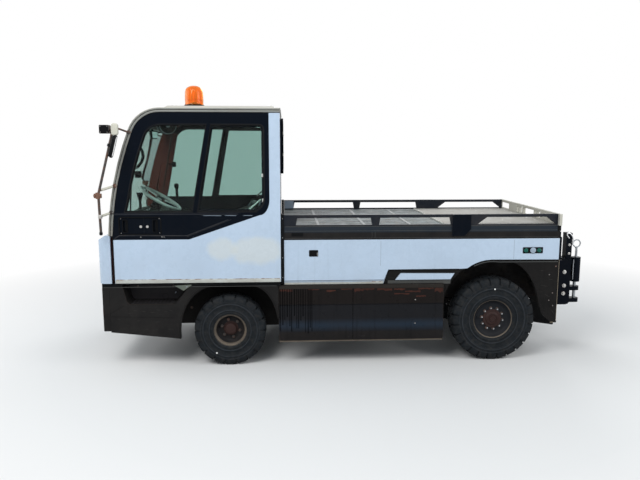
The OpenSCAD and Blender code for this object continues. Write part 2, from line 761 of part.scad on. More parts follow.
// Posts on the rails, with a plate behind each rear wheel that closes the arch inwards
module bed_posts() {
    color(frame_black) both_sides() {
        for (x = post_x) block([x, x + cross_w], [rail_in, rail_y], [rail_z + rail_h, bearer_z[0]]);
        block([post_x[0], post_x[1] + cross_w], [rail_y, rail_y + 6], [rail_z + 10, bearer_z[0]]);
    }
}

module bulkhead() {
    color(frame_black) block([x_bed - bulkhead_t, x_bed], [-y_bed + bed_t, y_bed - bed_t],
        [skirt_top + 5, side_top_z]);
}

// Grey floor with lengthwise ribs
rib_pitch = 74;
rib_w = 34;
rib_n = floor((channel_y[0] - rib_w / 2) / rib_pitch);
module bed_floor() {
    color(steel_grey) {
        block([x_board + tail_t, x_bed], [-channel_y[0], channel_y[0]], [deck_z - 20, deck_z - 6]);
        for (i = [-rib_n:rib_n]) block([x_board + tail_t, x_bed],
            [i * rib_pitch - rib_w / 2, i * rib_pitch + rib_w / 2], [deck_z - 6, deck_z]);
    }
}

// Raised cream plate over the rear part of the floor
module bed_plate() {
    color(cream) block([x_board + tail_t, x_mark + 450], [-y_bed + 75, y_bed - 75],
        [deck_z, deck_z + plate_t]);
}

// Low side boards with cut-outs, as start, end, slope of the ends
board_y = [y_bed - 28, y_bed - 3];
cut_table = [
    [x_mark + 1125, x_mark + 1805, 12],
    [x_mark + 412, x_mark + 1063, 12],
    [x_mark - 550, x_mark + 170, 85]];
cut_h = 64;
board_post = [x_mark + 232, x_mark + 402];
module side_boards() {
    color(frame_black) both_sides() difference() {
        union() {
            block([x_board + tail_t, x_bed], board_y, [deck_z, board_top]);
            across(board_y[1], board_y[1] + 9) polygon([
                [board_post[0], board_top], [board_post[1], board_top],
                [board_post[1], side_top_z + 28], [board_post[0] + 55, side_top_z + 28],
                [board_post[0], side_top_z + 90]]);
        }
        for (c = cut_table) across(0, y_bed + 1) polygon([[c[0], deck_z + 14], [c[1], deck_z + 14],
            [c[1] - c[2], deck_z + 14 + cut_h], [c[0] + c[2], deck_z + 14 + cut_h]]);
    }
}

// Tailboard across the rear edge with openings and pairs of slits: middle, width
tail_cuts = [[-640, 270], [-245, 44], [-150, 70], [53, 270], [225, 44], [315, 70]];
tail_t = 25;
tail_reach = y_bed + 30;
module tailboard() {
    color(cream) difference() {
        union() {
            block([x_board, x_board + tail_t], [-tail_reach, tail_reach], [deck_z, board_top]);
            block([x_board, x_board + tail_t], [-channel_y[0], channel_y[0]], [deck_z - 20, deck_z]);
        }
        for (c = tail_cuts)
            block([x_board - 1, x_board + tail_t + 1], [c[0] - c[1] / 2, c[0] + c[1] / 2],
                [deck_z + 18, board_top - 26]);
    }
}

panel_low = 436;
module rear_panel() {
    color(black) difference() {
        block([x_tail, x_tail + 32], [-y_bed + bed_t + 20, y_bed - bed_t - 20], [panel_low, side_top_z]);
        both_sides() block([x_tail - 1, x_tail + 12], [y_bed - 320, y_bed - 120], [820, 900]);
    }
}

module tail_lamps() {
    color("#b3201c") both_sides() block([x_tail - 3, x_tail + 12], [y_bed - 320, y_bed - 120], [820, 900]);
}

// Tow coupling: side plates, mast, pin housing and two jaws
pin_x = x_end + housing_r;
jaw_low = 353;
jaw_t = 42;
jaw_up = jaw_low + jaw_t + jaw_gap;
mast_gap = 37;
column_t = 16;
plate_x = pin_x + housing_r + 22;
mast_x = plate_x + mast_gap;
housing_z = [570, 826];
module jaw(z) {
    translate([0, 0, z]) linear_extrude(jaw_t) {
        translate([pin_x, 0]) circle(housing_r - 4);
        translate([pin_x, -housing_r + 4]) square([mast_x - pin_x + 4, 2 * housing_r - 8]);
    }
}

module hitch_frame() {
    color("#191a1b") difference() {
        union() {
            both_sides() across(110, 130) polygon([[x_tail, 400], [x_tail, 800],
                [mast_x + 45, 820], [mast_x, 790],
                [mast_x, 372], [mast_x + 30, 352], [mast_x + 150, 352]]);
            block([mast_x, mast_x + 60], [-110, 110], [352, 820]);
            block([plate_x, plate_x + 60], [-45, 45], [housing_z[1] - 30, 1083]);
            block([plate_x, plate_x + column_t], [-40, 40], [jaw_low, housing_z[1]]);
            jaw(jaw_low);
            jaw(jaw_up);
            translate([pin_x, 0, housing_z[0]]) cylinder(r = housing_r, h = housing_z[1] - housing_z[0]);
            for (z = [[590, 640], [750, 800]]) block([pin_x, mast_x + 5], [-26, 26], z);
        }
        translate([pin_x, 0, jaw_low - 1]) cylinder(r = pin_r + run, h = housing_z[1] - jaw_low + 2);
    }
}

module hitch_pin() {
    rod = 104;
    top = housing_z[1] + rod;
    color("#c9cccf") {
        translate([pin_x, 0, jaw_low]) cylinder(r = pin_r, h = housing_z[1] - jaw_low + 12);
        translate([pin_x, 0, housing_z[1]]) cylinder(r = 8, h = rod);
        translate([pin_x, 0, top + 38]) rotate([90, 0, 0]) rotate_extrude($fn = 36)
            translate([38, 0]) circle(7, $fn = 16);
    }
}

// Sliding doors: white lower panel, black upper frame and two panes
x_strip = x_cab + strip_w;
belt_knee = [x_front + 337, belt_z];
belt_rise = [x_cab + 184, glass_z - 33];
belt_end_z = glass_z + 100;
door_y = [y_door - door_t, y_door];
function belt_line() = concat([[x_foot - door_inset, belt_z], belt_knee, belt_rise],
    [for (i = [1:6]) belt_rise + [(x_strip - belt_rise[0]) * sin(i * 15),
        (belt_end_z - belt_rise[1]) * (1 - cos(i * 15))]]);
module door_panel() {
    color(white) across(door_y[0], door_y[1]) polygon(concat(
        [[x_cab, door_low], [x_foot - door_inset, door_low]],
        belt_line(), [[x_strip, roof_z - door_inset], [x_cab, roof_z - door_inset]]));
}

divider_top = x_front + 163;
divider_foot = x_front + 302;
pane_in = door_inset + frame_w;
pane_top = roof_z - pane_in;
pane_back = x_strip + 45;
function front_pane() = concat([[divider_foot, glass_z], [cab_line(pane_in)[0][0] - 10, glass_z]],
    [for (p = cab_line(pane_in)) if (p[1] > glass_z + 60) p], [[divider_top, pane_top]]);
function rear_pane() = concat([[pane_back + 70, glass_z], [divider_foot - divider_w * 1.2, glass_z],
    [divider_top - divider_w, pane_top], [pane_back + 40, pane_top]],
    arc([pane_back + 40, pane_top - 40], 40, 90, 180, 4),
    arc([pane_back + 110, glass_z + 110], 110, 180, 250, 4));
module door_frame() {
    color(frame_black) difference() {
        across(door_y[0], door_y[1]) polygon(concat(reverse(belt_line()), cab_line(door_inset),
            [[x_strip, roof_z - door_inset]]));
        across(door_y[0] - 1, door_y[1] + 1) polygon(front_pane());
        across(door_y[0] - 1, door_y[1] + 1) polygon(rear_pane());
        handle_recess();
    }
}

// Recess of the door handle with its two finger slots
handle = [x_front + 578, x_front + 932];
module handle_recess() {
    z = belt_z + 47;
    across(y_door - 8, y_door + 1) translate([handle[0], z]) rounded(handle[1] - handle[0], 148, 14);
    for (x = [handle[0] + 30, handle[1] - 66])
        block([x, x + 36], [y_door - 26, y_door + 1], [z + 20, z + 124]);
}

module door_glass() {
    color(glass_tint) across(y_door - door_t / 2 - glass_t / 2, y_door - door_t / 2 + glass_t / 2) {
        polygon(front_pane());
        polygon(rear_pane());
    }
}

module at_front_wheel() {
    translate([x_front, y_front, front_tyre_r]) children();
}

module at_rear_wheel() {
    translate([x_rear, y_back, rear_tyre_r]) children();
}

module front_tyre() {
    at_front_wheel() tyre(front_tyre_r, front_tyre_w, front_rim_r, front_lugs);
}

module rear_tyre() {
    at_rear_wheel() tyre(rear_tyre_r, rear_tyre_w, rear_rim_r, rear_lugs);
}

module front_rim() {
    at_front_wheel() rim(front_rim_r, front_tyre_w, front_dish, front_hub, spindle_r + run, 58);
}

module rear_rim() {
    at_rear_wheel() rim(rear_rim_r, rear_tyre_w, rear_dish, rear_hub, spindle_r + 5 + run, 85);
}

frame_rails();
cross_members();
outriggers();
engine_block();
front_axle();
rear_axle();
leaf_springs();
front_bumper();
skirt_sides();
step_wells();
nose_panel();
headlamps();
cab_floor();
cab_frame();
rear_wall();
roof();
windscreen();
rear_window();
wiper();
beacon();
mirror_arms();
mirror_heads();
dashboard();
seats();
cab_controls();
sills();
bed_sides();
arch_panels();
bed_channels();
bed_bearers();
bed_posts();
bulkhead();
bed_floor();
bed_plate();
side_boards();
tailboard();
rear_panel();
tail_lamps();
hitch_frame();
hitch_pin();
steering_wheel();
knuckle();  // knuckle_left
mirror([0, 1, 0]) knuckle();  // knuckle_right
tie_rod();
door_panel();  // door_panel_left
door_frame();  // door_frame_left
door_glass();  // door_glass_left
mirror([0, 1, 0]) door_panel();  // door_panel_right
mirror([0, 1, 0]) door_frame();  // door_frame_right
mirror([0, 1, 0]) door_glass();  // door_glass_right
front_tyre();  // tyre_front_left
mirror([0, 1, 0]) front_tyre();  // tyre_front_right
rear_tyre();  // tyre_rear_left
mirror([0, 1, 0]) rear_tyre();  // tyre_rear_right
front_rim();  // rim_front_left
mirror([0, 1, 0]) front_rim();  // rim_front_right
rear_rim();  // rim_rear_left
mirror([0, 1, 0]) rear_rim();  // rim_rear_right
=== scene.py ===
"""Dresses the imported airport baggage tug: paint, rubber, glass, trim and the stage."""

import random
from math import atan2, cos, dist, pi, radians, sin, sqrt, tau

import bmesh
import bpy
from bpy.props import FloatProperty, FloatVectorProperty, IntProperty, PointerProperty
from mathutils import Matrix, Vector


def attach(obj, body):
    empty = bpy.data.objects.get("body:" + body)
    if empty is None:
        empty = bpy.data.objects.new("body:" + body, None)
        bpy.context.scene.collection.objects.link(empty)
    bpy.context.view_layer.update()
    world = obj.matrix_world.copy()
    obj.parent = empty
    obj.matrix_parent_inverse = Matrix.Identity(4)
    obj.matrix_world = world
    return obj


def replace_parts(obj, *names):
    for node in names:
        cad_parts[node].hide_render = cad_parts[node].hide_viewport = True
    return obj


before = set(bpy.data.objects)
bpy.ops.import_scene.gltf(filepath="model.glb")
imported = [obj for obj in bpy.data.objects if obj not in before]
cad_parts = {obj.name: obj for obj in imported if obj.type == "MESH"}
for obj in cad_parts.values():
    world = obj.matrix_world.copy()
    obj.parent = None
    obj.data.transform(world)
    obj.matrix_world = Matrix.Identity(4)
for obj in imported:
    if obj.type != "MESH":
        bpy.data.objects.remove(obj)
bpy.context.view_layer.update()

bl_info = {
    "name": "Airport Baggage Tug",
    "version": (1, 0, 0),
    "blender": (4, 5, 0),
    "location": "3D View > Sidebar > Baggage Tug",
    "description": "Finishes, trim and stage for a four-wheeled baggage tug",
    "category": "Object",
}

# Stations
# Metres in the CAD's frame: +X forwards, +Y to the left, +Z up.
X_FRONT, X_REAR, X_MARK = 1.22, -1.192, -1.18
X_NOSE, X_TAIL, X_BOARD = 2.35, -1.785, -1.775
X_CAB, X_BED = 0.76, 0.73
X_FOOT, X_BUMPER = 2.251, 2.328
Y_DOOR, Y_CAB, Y_BED, Y_ARCH = 0.81, 0.765, 0.765, 0.753
Y_SKIRT, Y_SILL, Y_WELL = 0.798, 0.79, 0.608
DOOR_INSET = 0.042
FLOOR_Z, SKIRT_TOP = 0.77, 0.734
DECK_Z, BOARD_TOP, SIDE_TOP = 1.258, 1.362, 1.139
GLASS_Z = 1.4
FOOT_Z = 1.194
SCREEN_R, SCREEN_A0, SCREEN_A1, ROOF_R = 2.88, 3.4, 22.1, 0.29
SKIN, ROOF_EDGE = 0.012, 0.037
PIN_X = -2.302
# Each wheel's centre, radius, width and rim, then its disc, hub, nuts and the dab of paint on the tyre
FRONT_WHEEL = dict(x=X_FRONT, y=0.695, z=0.322, r=0.322, w=0.19, rim=0.15, dish=0.0, hub=0.056, nuts=6,
                   nut_ring=0.084, dab=(0.123, -0.205), dab_out=0.4975, disc="disc_paint",
                   stud="dark_steel")
REAR_WHEEL = dict(x=X_REAR, y=0.665, z=0.385, r=0.385, w=0.214, rim=0.188, dish=0.048, hub=0.082, nuts=10,
                  nut_ring=0.099, dab=(0.0, 0.288), dab_out=0.4985, disc="rear_disc_paint", stud="silver")
# Directions, and the centre of what is turned about its own axis
AHEAD, BACK, LEFT, RIGHT, UP, DOWN = (1, 0, 0), (-1, 0, 0), (0, 1, 0), (0, -1, 0), (0, 0, 1), (0, 0, -1)
CENTRE = (0, 0, 0)


def arc(centre, r, a0, a1, n):
    """Points on an arc in X and Z, angles in degrees."""
    out = []
    for i in range(n + 1):
        a = radians(a0 + (a1 - a0) * i / n)
        out.append((centre[0] + r * cos(a), centre[1] + r * sin(a)))
    return out


def oval(centre, a, b, t0, t1, n):
    """Points on part of an ellipse in X and Z."""
    out = []
    for i in range(n + 1):
        t = radians(t0 + (t1 - t0) * i / n)
        out.append((centre[0] + a * cos(t), centre[1] + b * sin(t)))
    return out


def rect(x0, z0, x1, z1):
    """Rectangle from one corner to the other."""
    return [(x0, z0), (x1, z0), (x1, z1), (x0, z1)]


def circle(r, n, tall=None):
    """Points round a circle, or round an oval of another half height."""
    tall = r if tall is None else tall
    return [(r * cos(tau * k / n), tall * sin(tau * k / n)) for k in range(n)]


def mirrored(side):
    """Leaves a piece on the left for 1 and mirrors it to the right for -1."""
    return Matrix.Diagonal((1, side, 1, 1))


SCREEN_C = (X_FOOT - SCREEN_R * cos(radians(SCREEN_A0)), FOOT_Z - SCREEN_R * sin(radians(SCREEN_A0)))
CORNER_C = (SCREEN_C[0] + (SCREEN_R - ROOF_R) * cos(radians(SCREEN_A1)),
            SCREEN_C[1] + (SCREEN_R - ROOF_R) * sin(radians(SCREEN_A1)))
ROOF_Z = CORNER_C[1] + ROOF_R


def screen_line(d, n=6):
    """The windscreen's curve, d inside the cab's outer skin."""
    return arc(SCREEN_C, SCREEN_R - d, SCREEN_A0, SCREEN_A1, n)


def cab_line(d):
    """Windscreen and front roof corner as one line, d inside the outer skin."""
    return screen_line(d) + arc(CORNER_C, ROOF_R - d, SCREEN_A1, 90, 8)[1:]


# Finishes
class Finish:
    """A material whose colour, gloss and relief are built from short calls."""

    def __init__(self, name):
        self.material = bpy.data.materials.new(name)
        self.material.use_nodes = True
        self.tree = self.material.node_tree
        self.tree.nodes.clear()
        self.out = self.node("OutputMaterial")
        self.shader = self.node("BsdfPrincipled")
        self.link(self.shader.outputs["BSDF"], self.out.inputs["Surface"])
        self.place = self.node("TexCoord").outputs["Object"]

    def node(self, kind):
        return self.tree.nodes.new("ShaderNode" + kind)

    def link(self, a, b):
        self.tree.links.new(a, b)

    def put(self, socket, value):
        """Gives a socket a number, a colour or another socket's output."""
        if isinstance(value, bpy.types.NodeSocket):
            self.link(value, socket)
        elif isinstance(value, (tuple, list)) and len(value) == 3 and socket.type == "RGBA":
            socket.default_value = (*value, 1)
        else:
            socket.default_value = value

    def set(self, **values):
        """Sets the shader's inputs; an underscore stands for a space in a name."""
        for key, value in values.items():
            self.put(self.shader.inputs[key.replace("_", " ")], value)
        return self

    def stretch(self, scale):
        node = self.node("Mapping")
        self.link(self.place, node.inputs["Vector"])
        node.inputs["Scale"].default_value = scale
        return node.outputs["Vector"]

    def cloud(self, scale, detail=4, rough=0.55, stretch=None, warp=0.0):
        """Soft noise, 0 to 1."""
        node = self.node("TexNoise")
        self.link(self.stretch(stretch) if stretch else self.place, node.inputs["Vector"])
        node.inputs["Scale"].default_value = scale
        node.inputs["Detail"].default_value = detail
        node.inputs["Roughness"].default_value = rough
        node.inputs["Distortion"].default_value = warp
        return node.outputs["Fac"]

    def cells(self, scale, feature="F1"):
        """Pebbles: distance to the middle of each cell."""
        node = self.node("TexVoronoi")
        node.feature = feature
        self.link(self.place, node.inputs["Vector"])
        node.inputs["Scale"].default_value = scale
        return node.outputs["Distance"]

    def between(self, value, low, high, a=0.0, b=1.0):
        """value mapped from low..high to a..b, held at both ends."""
        node = self.node("MapRange")
        self.put(node.inputs["Value"], value)
        for key, number in (("From Min", low), ("From Max", high), ("To Min", a), ("To Max", b)):
            node.inputs[key].default_value = number
        return node.outputs["Result"]

    def maths(self, operation, a, b=0.0):
        node = self.node("Math")
        node.operation = operation
        self.put(node.inputs[0], a)
        self.put(node.inputs[1], b)
        return node.outputs[0]

    def plus(self, a, b):
        return self.maths("ADD", a, b)

    def times(self, *values):
        out = values[0]
        for v in values[1:]:
            out = self.maths("MULTIPLY", out, v)
        return out

    def blend(self, factor, a, b):
        node = self.node("Mix")
        node.data_type = "RGBA"
        self.put(node.inputs[0], factor)
        self.put(node.inputs[6], a)
        self.put(node.inputs[7], b)
        return node.outputs[2]

    def axis(self, name):
        node = self.node("SeparateXYZ")
        self.link(self.place, node.inputs[0])
        return node.outputs[name]

    def relief(self, height, depth, strength=1.0):
        """Bump from height, depth in metres."""
        node = self.node("Bump")
        node.inputs["Strength"].default_value = strength
        node.inputs["Distance"].default_value = depth
        self.put(node.inputs["Height"], height)
        self.link(node.outputs["Normal"], self.shader.inputs["Normal"])
        return self


DUST = (0.235, 0.185, 0.135)
RUST = (0.17, 0.06, 0.022)


def paint_set():
    """The panel's colours and wear."""
    return bpy.context.scene.tug_paint


def panel_colour(colour):
    """A colour, or the one that the panel holds under a name; the arches are a darker black."""
    if colour == "arch":
        return tuple(c * 0.75 for c in paint_set().black)
    return tuple(getattr(paint_set(), colour)) if isinstance(colour, str) else colour


def painted(name, colour, gloss=0.3, dust=0.25, rust=0.0, runs=0.0, low=(0.2, 1.0), dents=0.002, grime=DUST,
            shine=0.25, zones=(), spots=()):
    """Sheet metal paint with fading, dust towards the ground, dark runs and rust spots.

    Zones are (low, high, blur, colour) bands of height, spots are (x, z, half length, half height, colour).
    """
    f = Finish(name)
    colour = panel_colour(colour)
    wear = paint_set().wear
    fade = f.between(f.cloud(2.3, 5, 0.6), 0.3, 0.7)
    base = f.blend(f.times(fade, 0.5), colour, tuple(c * 0.86 for c in colour))
    for bottom, top, blur, tint in zones:
        band = f.times(f.between(f.axis("Z"), bottom - blur, bottom + blur),
                       f.between(f.axis("Z"), top + blur, top - blur))
        base = f.blend(band, base, tint)
    for x, z, wide, tall, tint in spots:
        dx = f.maths("DIVIDE", f.maths("SUBTRACT", f.axis("X"), x), wide)
        dz = f.maths("DIVIDE", f.maths("SUBTRACT", f.axis("Z"), z), tall)
        reach = f.plus(f.maths("MULTIPLY", dx, dx), f.maths("MULTIPLY", dz, dz))
        reach = f.plus(reach, f.between(f.cloud(9, 4, 0.6), 0.3, 0.7, -0.25, 0.25))
        base = f.blend(f.between(reach, 1.25, 0.55, 0.0, 0.62), base, tint)
    height = f.between(f.axis("Z"), low[1], low[0])
    patch = f.between(f.cloud(6.0, 8, 0.7), 0.38, 0.72)
    ground = f.plus(f.times(height, 0.75), 0.25)
    layer = f.maths("MINIMUM", f.times(ground, patch, dust * wear * 2.2), 0.9)
    base = f.blend(layer, base, grime)
    if runs:
        streak = f.between(f.cloud(1.0, 4, 0.6, (34, 34, 0.9)), 0.56, 0.74)
        start = f.between(f.cloud(1.6, 2, 0.5), 0.42, 0.6)
        base = f.blend(f.times(streak, start, runs * wear), base, tuple(c * 0.32 for c in colour))
    scratch = f.between(f.cloud(1.0, 3, 0.5, (5, 5, 160), 0.6), 0.69, 0.75)
    base = f.blend(f.times(scratch, 0.16), base, tuple(min(1, c * 1.3 + 0.08) for c in colour))
    if rust:
        specks = f.between(f.cloud(46, 5, 0.75), 0.68, 0.74)
        fields = f.between(f.cloud(3.1, 4, 0.6), 0.5, 0.66)
        eaten = f.times(specks, fields, rust * wear)
        base = f.blend(eaten, base, RUST)
    rough = f.plus(f.times(layer, 0.42), gloss)
    rough = f.plus(rough, f.between(f.cloud(18, 3), 0.3, 0.7, -0.03, 0.06))
    f.set(Base_Color=base, Roughness=rough, Specular_IOR_Level=shine)
    skin = f.plus(f.cloud(2.1, 2, 0.4), f.times(f.cloud(900, 2), 0.02))
    if rust:
        skin = f.plus(skin, f.times(eaten, 0.25))
    f.relief(skin, dents * 4, 0.5)
    return f.material


def rubber(name, colour, dusty):
    """Tyre rubber: grey bloom, patches of dust, fine moulding grain."""
    f = Finish(name)
    bloom = f.between(f.cloud(9, 6, 0.65), 0.3, 0.75)
    base = f.blend(bloom, colour, tuple(c * 1.7 + 0.002 for c in colour))
    dust = f.times(f.between(f.cloud(28, 7, 0.7), 0.45, 0.75), dusty * paint_set().wear)
    base = f.blend(dust, base, (0.1, 0.085, 0.07))
    f.set(Base_Color=base, Roughness=f.between(bloom, 0, 1, 0.5, 0.75), Specular_IOR_Level=0.09)
    f.relief(f.plus(f.cloud(260, 4, 0.6), f.times(f.cloud(30, 3), 1.5)), 0.0012, 0.6)
    return f.material


def plastic(name, colour, rough=0.5, grain=0.0003, dust=0.2, shine=0.3):
    """Moulded plastic with a fine grain and a little dust on it."""
    f = Finish(name)
    worn = f.between(f.cloud(7, 5, 0.6), 0.35, 0.75)
    base = f.blend(f.times(worn, dust), colour, (0.2, 0.18, 0.15))
    f.set(Base_Color=base, Roughness=f.between(worn, 0, 1, rough, min(1, rough + 0.18)),
          Specular_IOR_Level=shine)
    f.relief(f.cells(700), grain, 0.5)
    return f.material


def metal(name, colour, rough=0.3, rust=0.0, metallic=1.0):
    """Bare or plated metal with fine scratches and optional rust bloom."""
    f = Finish(name)
    grain = f.cloud(90, 4, 0.6)
    tone = f.between(grain, 0.3, 0.7)
    base = f.blend(f.times(tone, 0.35), colour, tuple(c * 0.6 for c in colour))
    if rust:
        bloom = f.times(f.between(f.cloud(26, 7, 0.7), 0.46, 0.66), rust * paint_set().wear)
        base = f.blend(bloom, base, RUST)
        f.set(Metallic=f.between(bloom, 0, 0.8, metallic, 0.0))
        f.set(Roughness=f.between(bloom, 0, 1, rough, 0.85))
    else:
        f.set(Metallic=metallic, Roughness=f.between(grain, 0.2, 0.8, rough, rough + 0.15))
    f.set(Base_Color=base)
    f.relief(grain, 0.0004, 0.4)
    return f.material


def iron(name, colour=(0.009, 0.009, 0.01), rust=0.16):
    """Dirty cast or forged parts below the body."""
    f = Finish(name)
    crust = f.between(f.cloud(14, 8, 0.7), 0.4, 0.68)
    base = f.blend(f.times(crust, rust), colour, (0.05, 0.026, 0.015))
    mud = f.between(f.cloud(5, 6, 0.7), 0.5, 0.72)
    base = f.blend(f.times(mud, 0.4), base, (0.07, 0.058, 0.046))
    f.set(Base_Color=base, Roughness=f.between(crust, 0, 1, 0.5, 0.88), Specular_IOR_Level=0.2)
    f.relief(f.plus(f.cloud(70, 6, 0.7), f.times(mud, 1.3)), 0.003, 0.7)
    return f.material


def rusty(name):
    """Broken paint along a seam with brown rust between."""
    f = Finish(name)
    bare = f.between(f.cloud(24, 6, 0.7, (1, 1, 2.5)), 0.42, 0.58)
    base = f.blend(f.between(f.cloud(60, 5), 0.3, 0.7), (0.22, 0.12, 0.06), (0.1, 0.045, 0.025))
    f.set(Base_Color=f.blend(bare, base, (0.5, 0.53, 0.52)), Roughness=0.75)
    f.relief(f.cloud(180, 5, 0.7), 0.0015, 0.7)
    return f.material


def pane(name, tint):
    """Window glass that lets lamps through, with a thin film of dust."""
    f = Finish(name)
    film = paint_set().window_dust
    f.set(Base_Color=tint, Roughness=0.01, Transmission_Weight=1.0, IOR=1.16)
    clear = f.node("BsdfTransparent")
    clear.inputs["Color"].default_value = (0.86, 0.92, 0.9, 1)
    path = f.node("LightPath")
    lamps = f.node("MixShader")
    f.link(path.outputs["Is Shadow Ray"], lamps.inputs[0])
    f.link(f.shader.outputs[0], lamps.inputs[1])
    f.link(clear.outputs[0], lamps.inputs[2])
    dust = f.node("BsdfDiffuse")
    dust.inputs["Color"].default_value = (0.55, 0.56, 0.52, 1)
    dusty = f.node("MixShader")
    smear = f.plus(f.between(f.cloud(3.0, 7, 0.7), 0.35, 0.8, 0, film),
                   f.between(f.cloud(1.0, 4, 0.6, (22, 22, 1.4)), 0.55, 0.8, 0, film * 1.3))
    f.link(smear, dusty.inputs[0])
    f.link(lamps.outputs[0], dusty.inputs[1])
    f.link(dust.outputs[0], dusty.inputs[2])
    f.link(dusty.outputs[0], f.out.inputs["Surface"])
    return f.material


def lens(name, tint, rough=0.12, ribs=0.0, clear=0.35):
    """Coloured lamp lens, ribbed inside."""
    f = Finish(name)
    f.set(Base_Color=tint, Roughness=rough, Transmission_Weight=clear, IOR=1.35, Specular_IOR_Level=0.25)
    lines = f.node("TexWave")
    lines.bands_direction = "Z"
    lines.inputs["Scale"].default_value = 34
    f.link(f.place, lines.inputs["Vector"])
    f.relief(lines.outputs["Fac"], 0.002, ribs)
    return f.material


def vinyl(name, colour):
    """Seat covering: pebbled grain, with lighter, rougher worn patches."""
    f = Finish(name)
    worn = f.between(f.cloud(5, 4, 0.6), 0.35, 0.7)
    base = f.blend(f.times(worn, 0.5), colour, tuple(c * 2.2 + 0.01 for c in colour))
    f.set(Base_Color=base, Roughness=f.between(worn, 0, 1, 0.42, 0.62), Sheen_Weight=0.08)
    f.relief(f.plus(f.cells(420, feature="SMOOTH_F1"), f.times(f.cloud(40, 4), 0.7)), 0.0012, 0.7)
    return f.material


def deck_sheet(name):
    """Grey-green ribbed sheet of the load floor, rippled, with painted reflections along the ripples that
    make it look wet.
    """
    f = Finish(name)
    ripple = f.cloud(1.0, 5, 0.6, (3.2, 11, 4), 1.6)
    # Light and dark tones that follow the ripple are a painted reflection on the sheet
    tone = f.between(ripple, 0.35, 0.68)
    base = f.blend(tone, (0.045, 0.056, 0.06), (0.25, 0.28, 0.28))
    base = f.blend(f.times(f.between(f.cloud(11, 7, 0.7), 0.5, 0.7), 0.5), base, (0.2, 0.165, 0.12))
    f.set(Base_Color=base, Roughness=f.between(tone, 0, 1, 0.32, 0.52), Metallic=0.05,
          Specular_IOR_Level=0.2)
    f.relief(ripple, 0.02, 0.8)
    return f.material


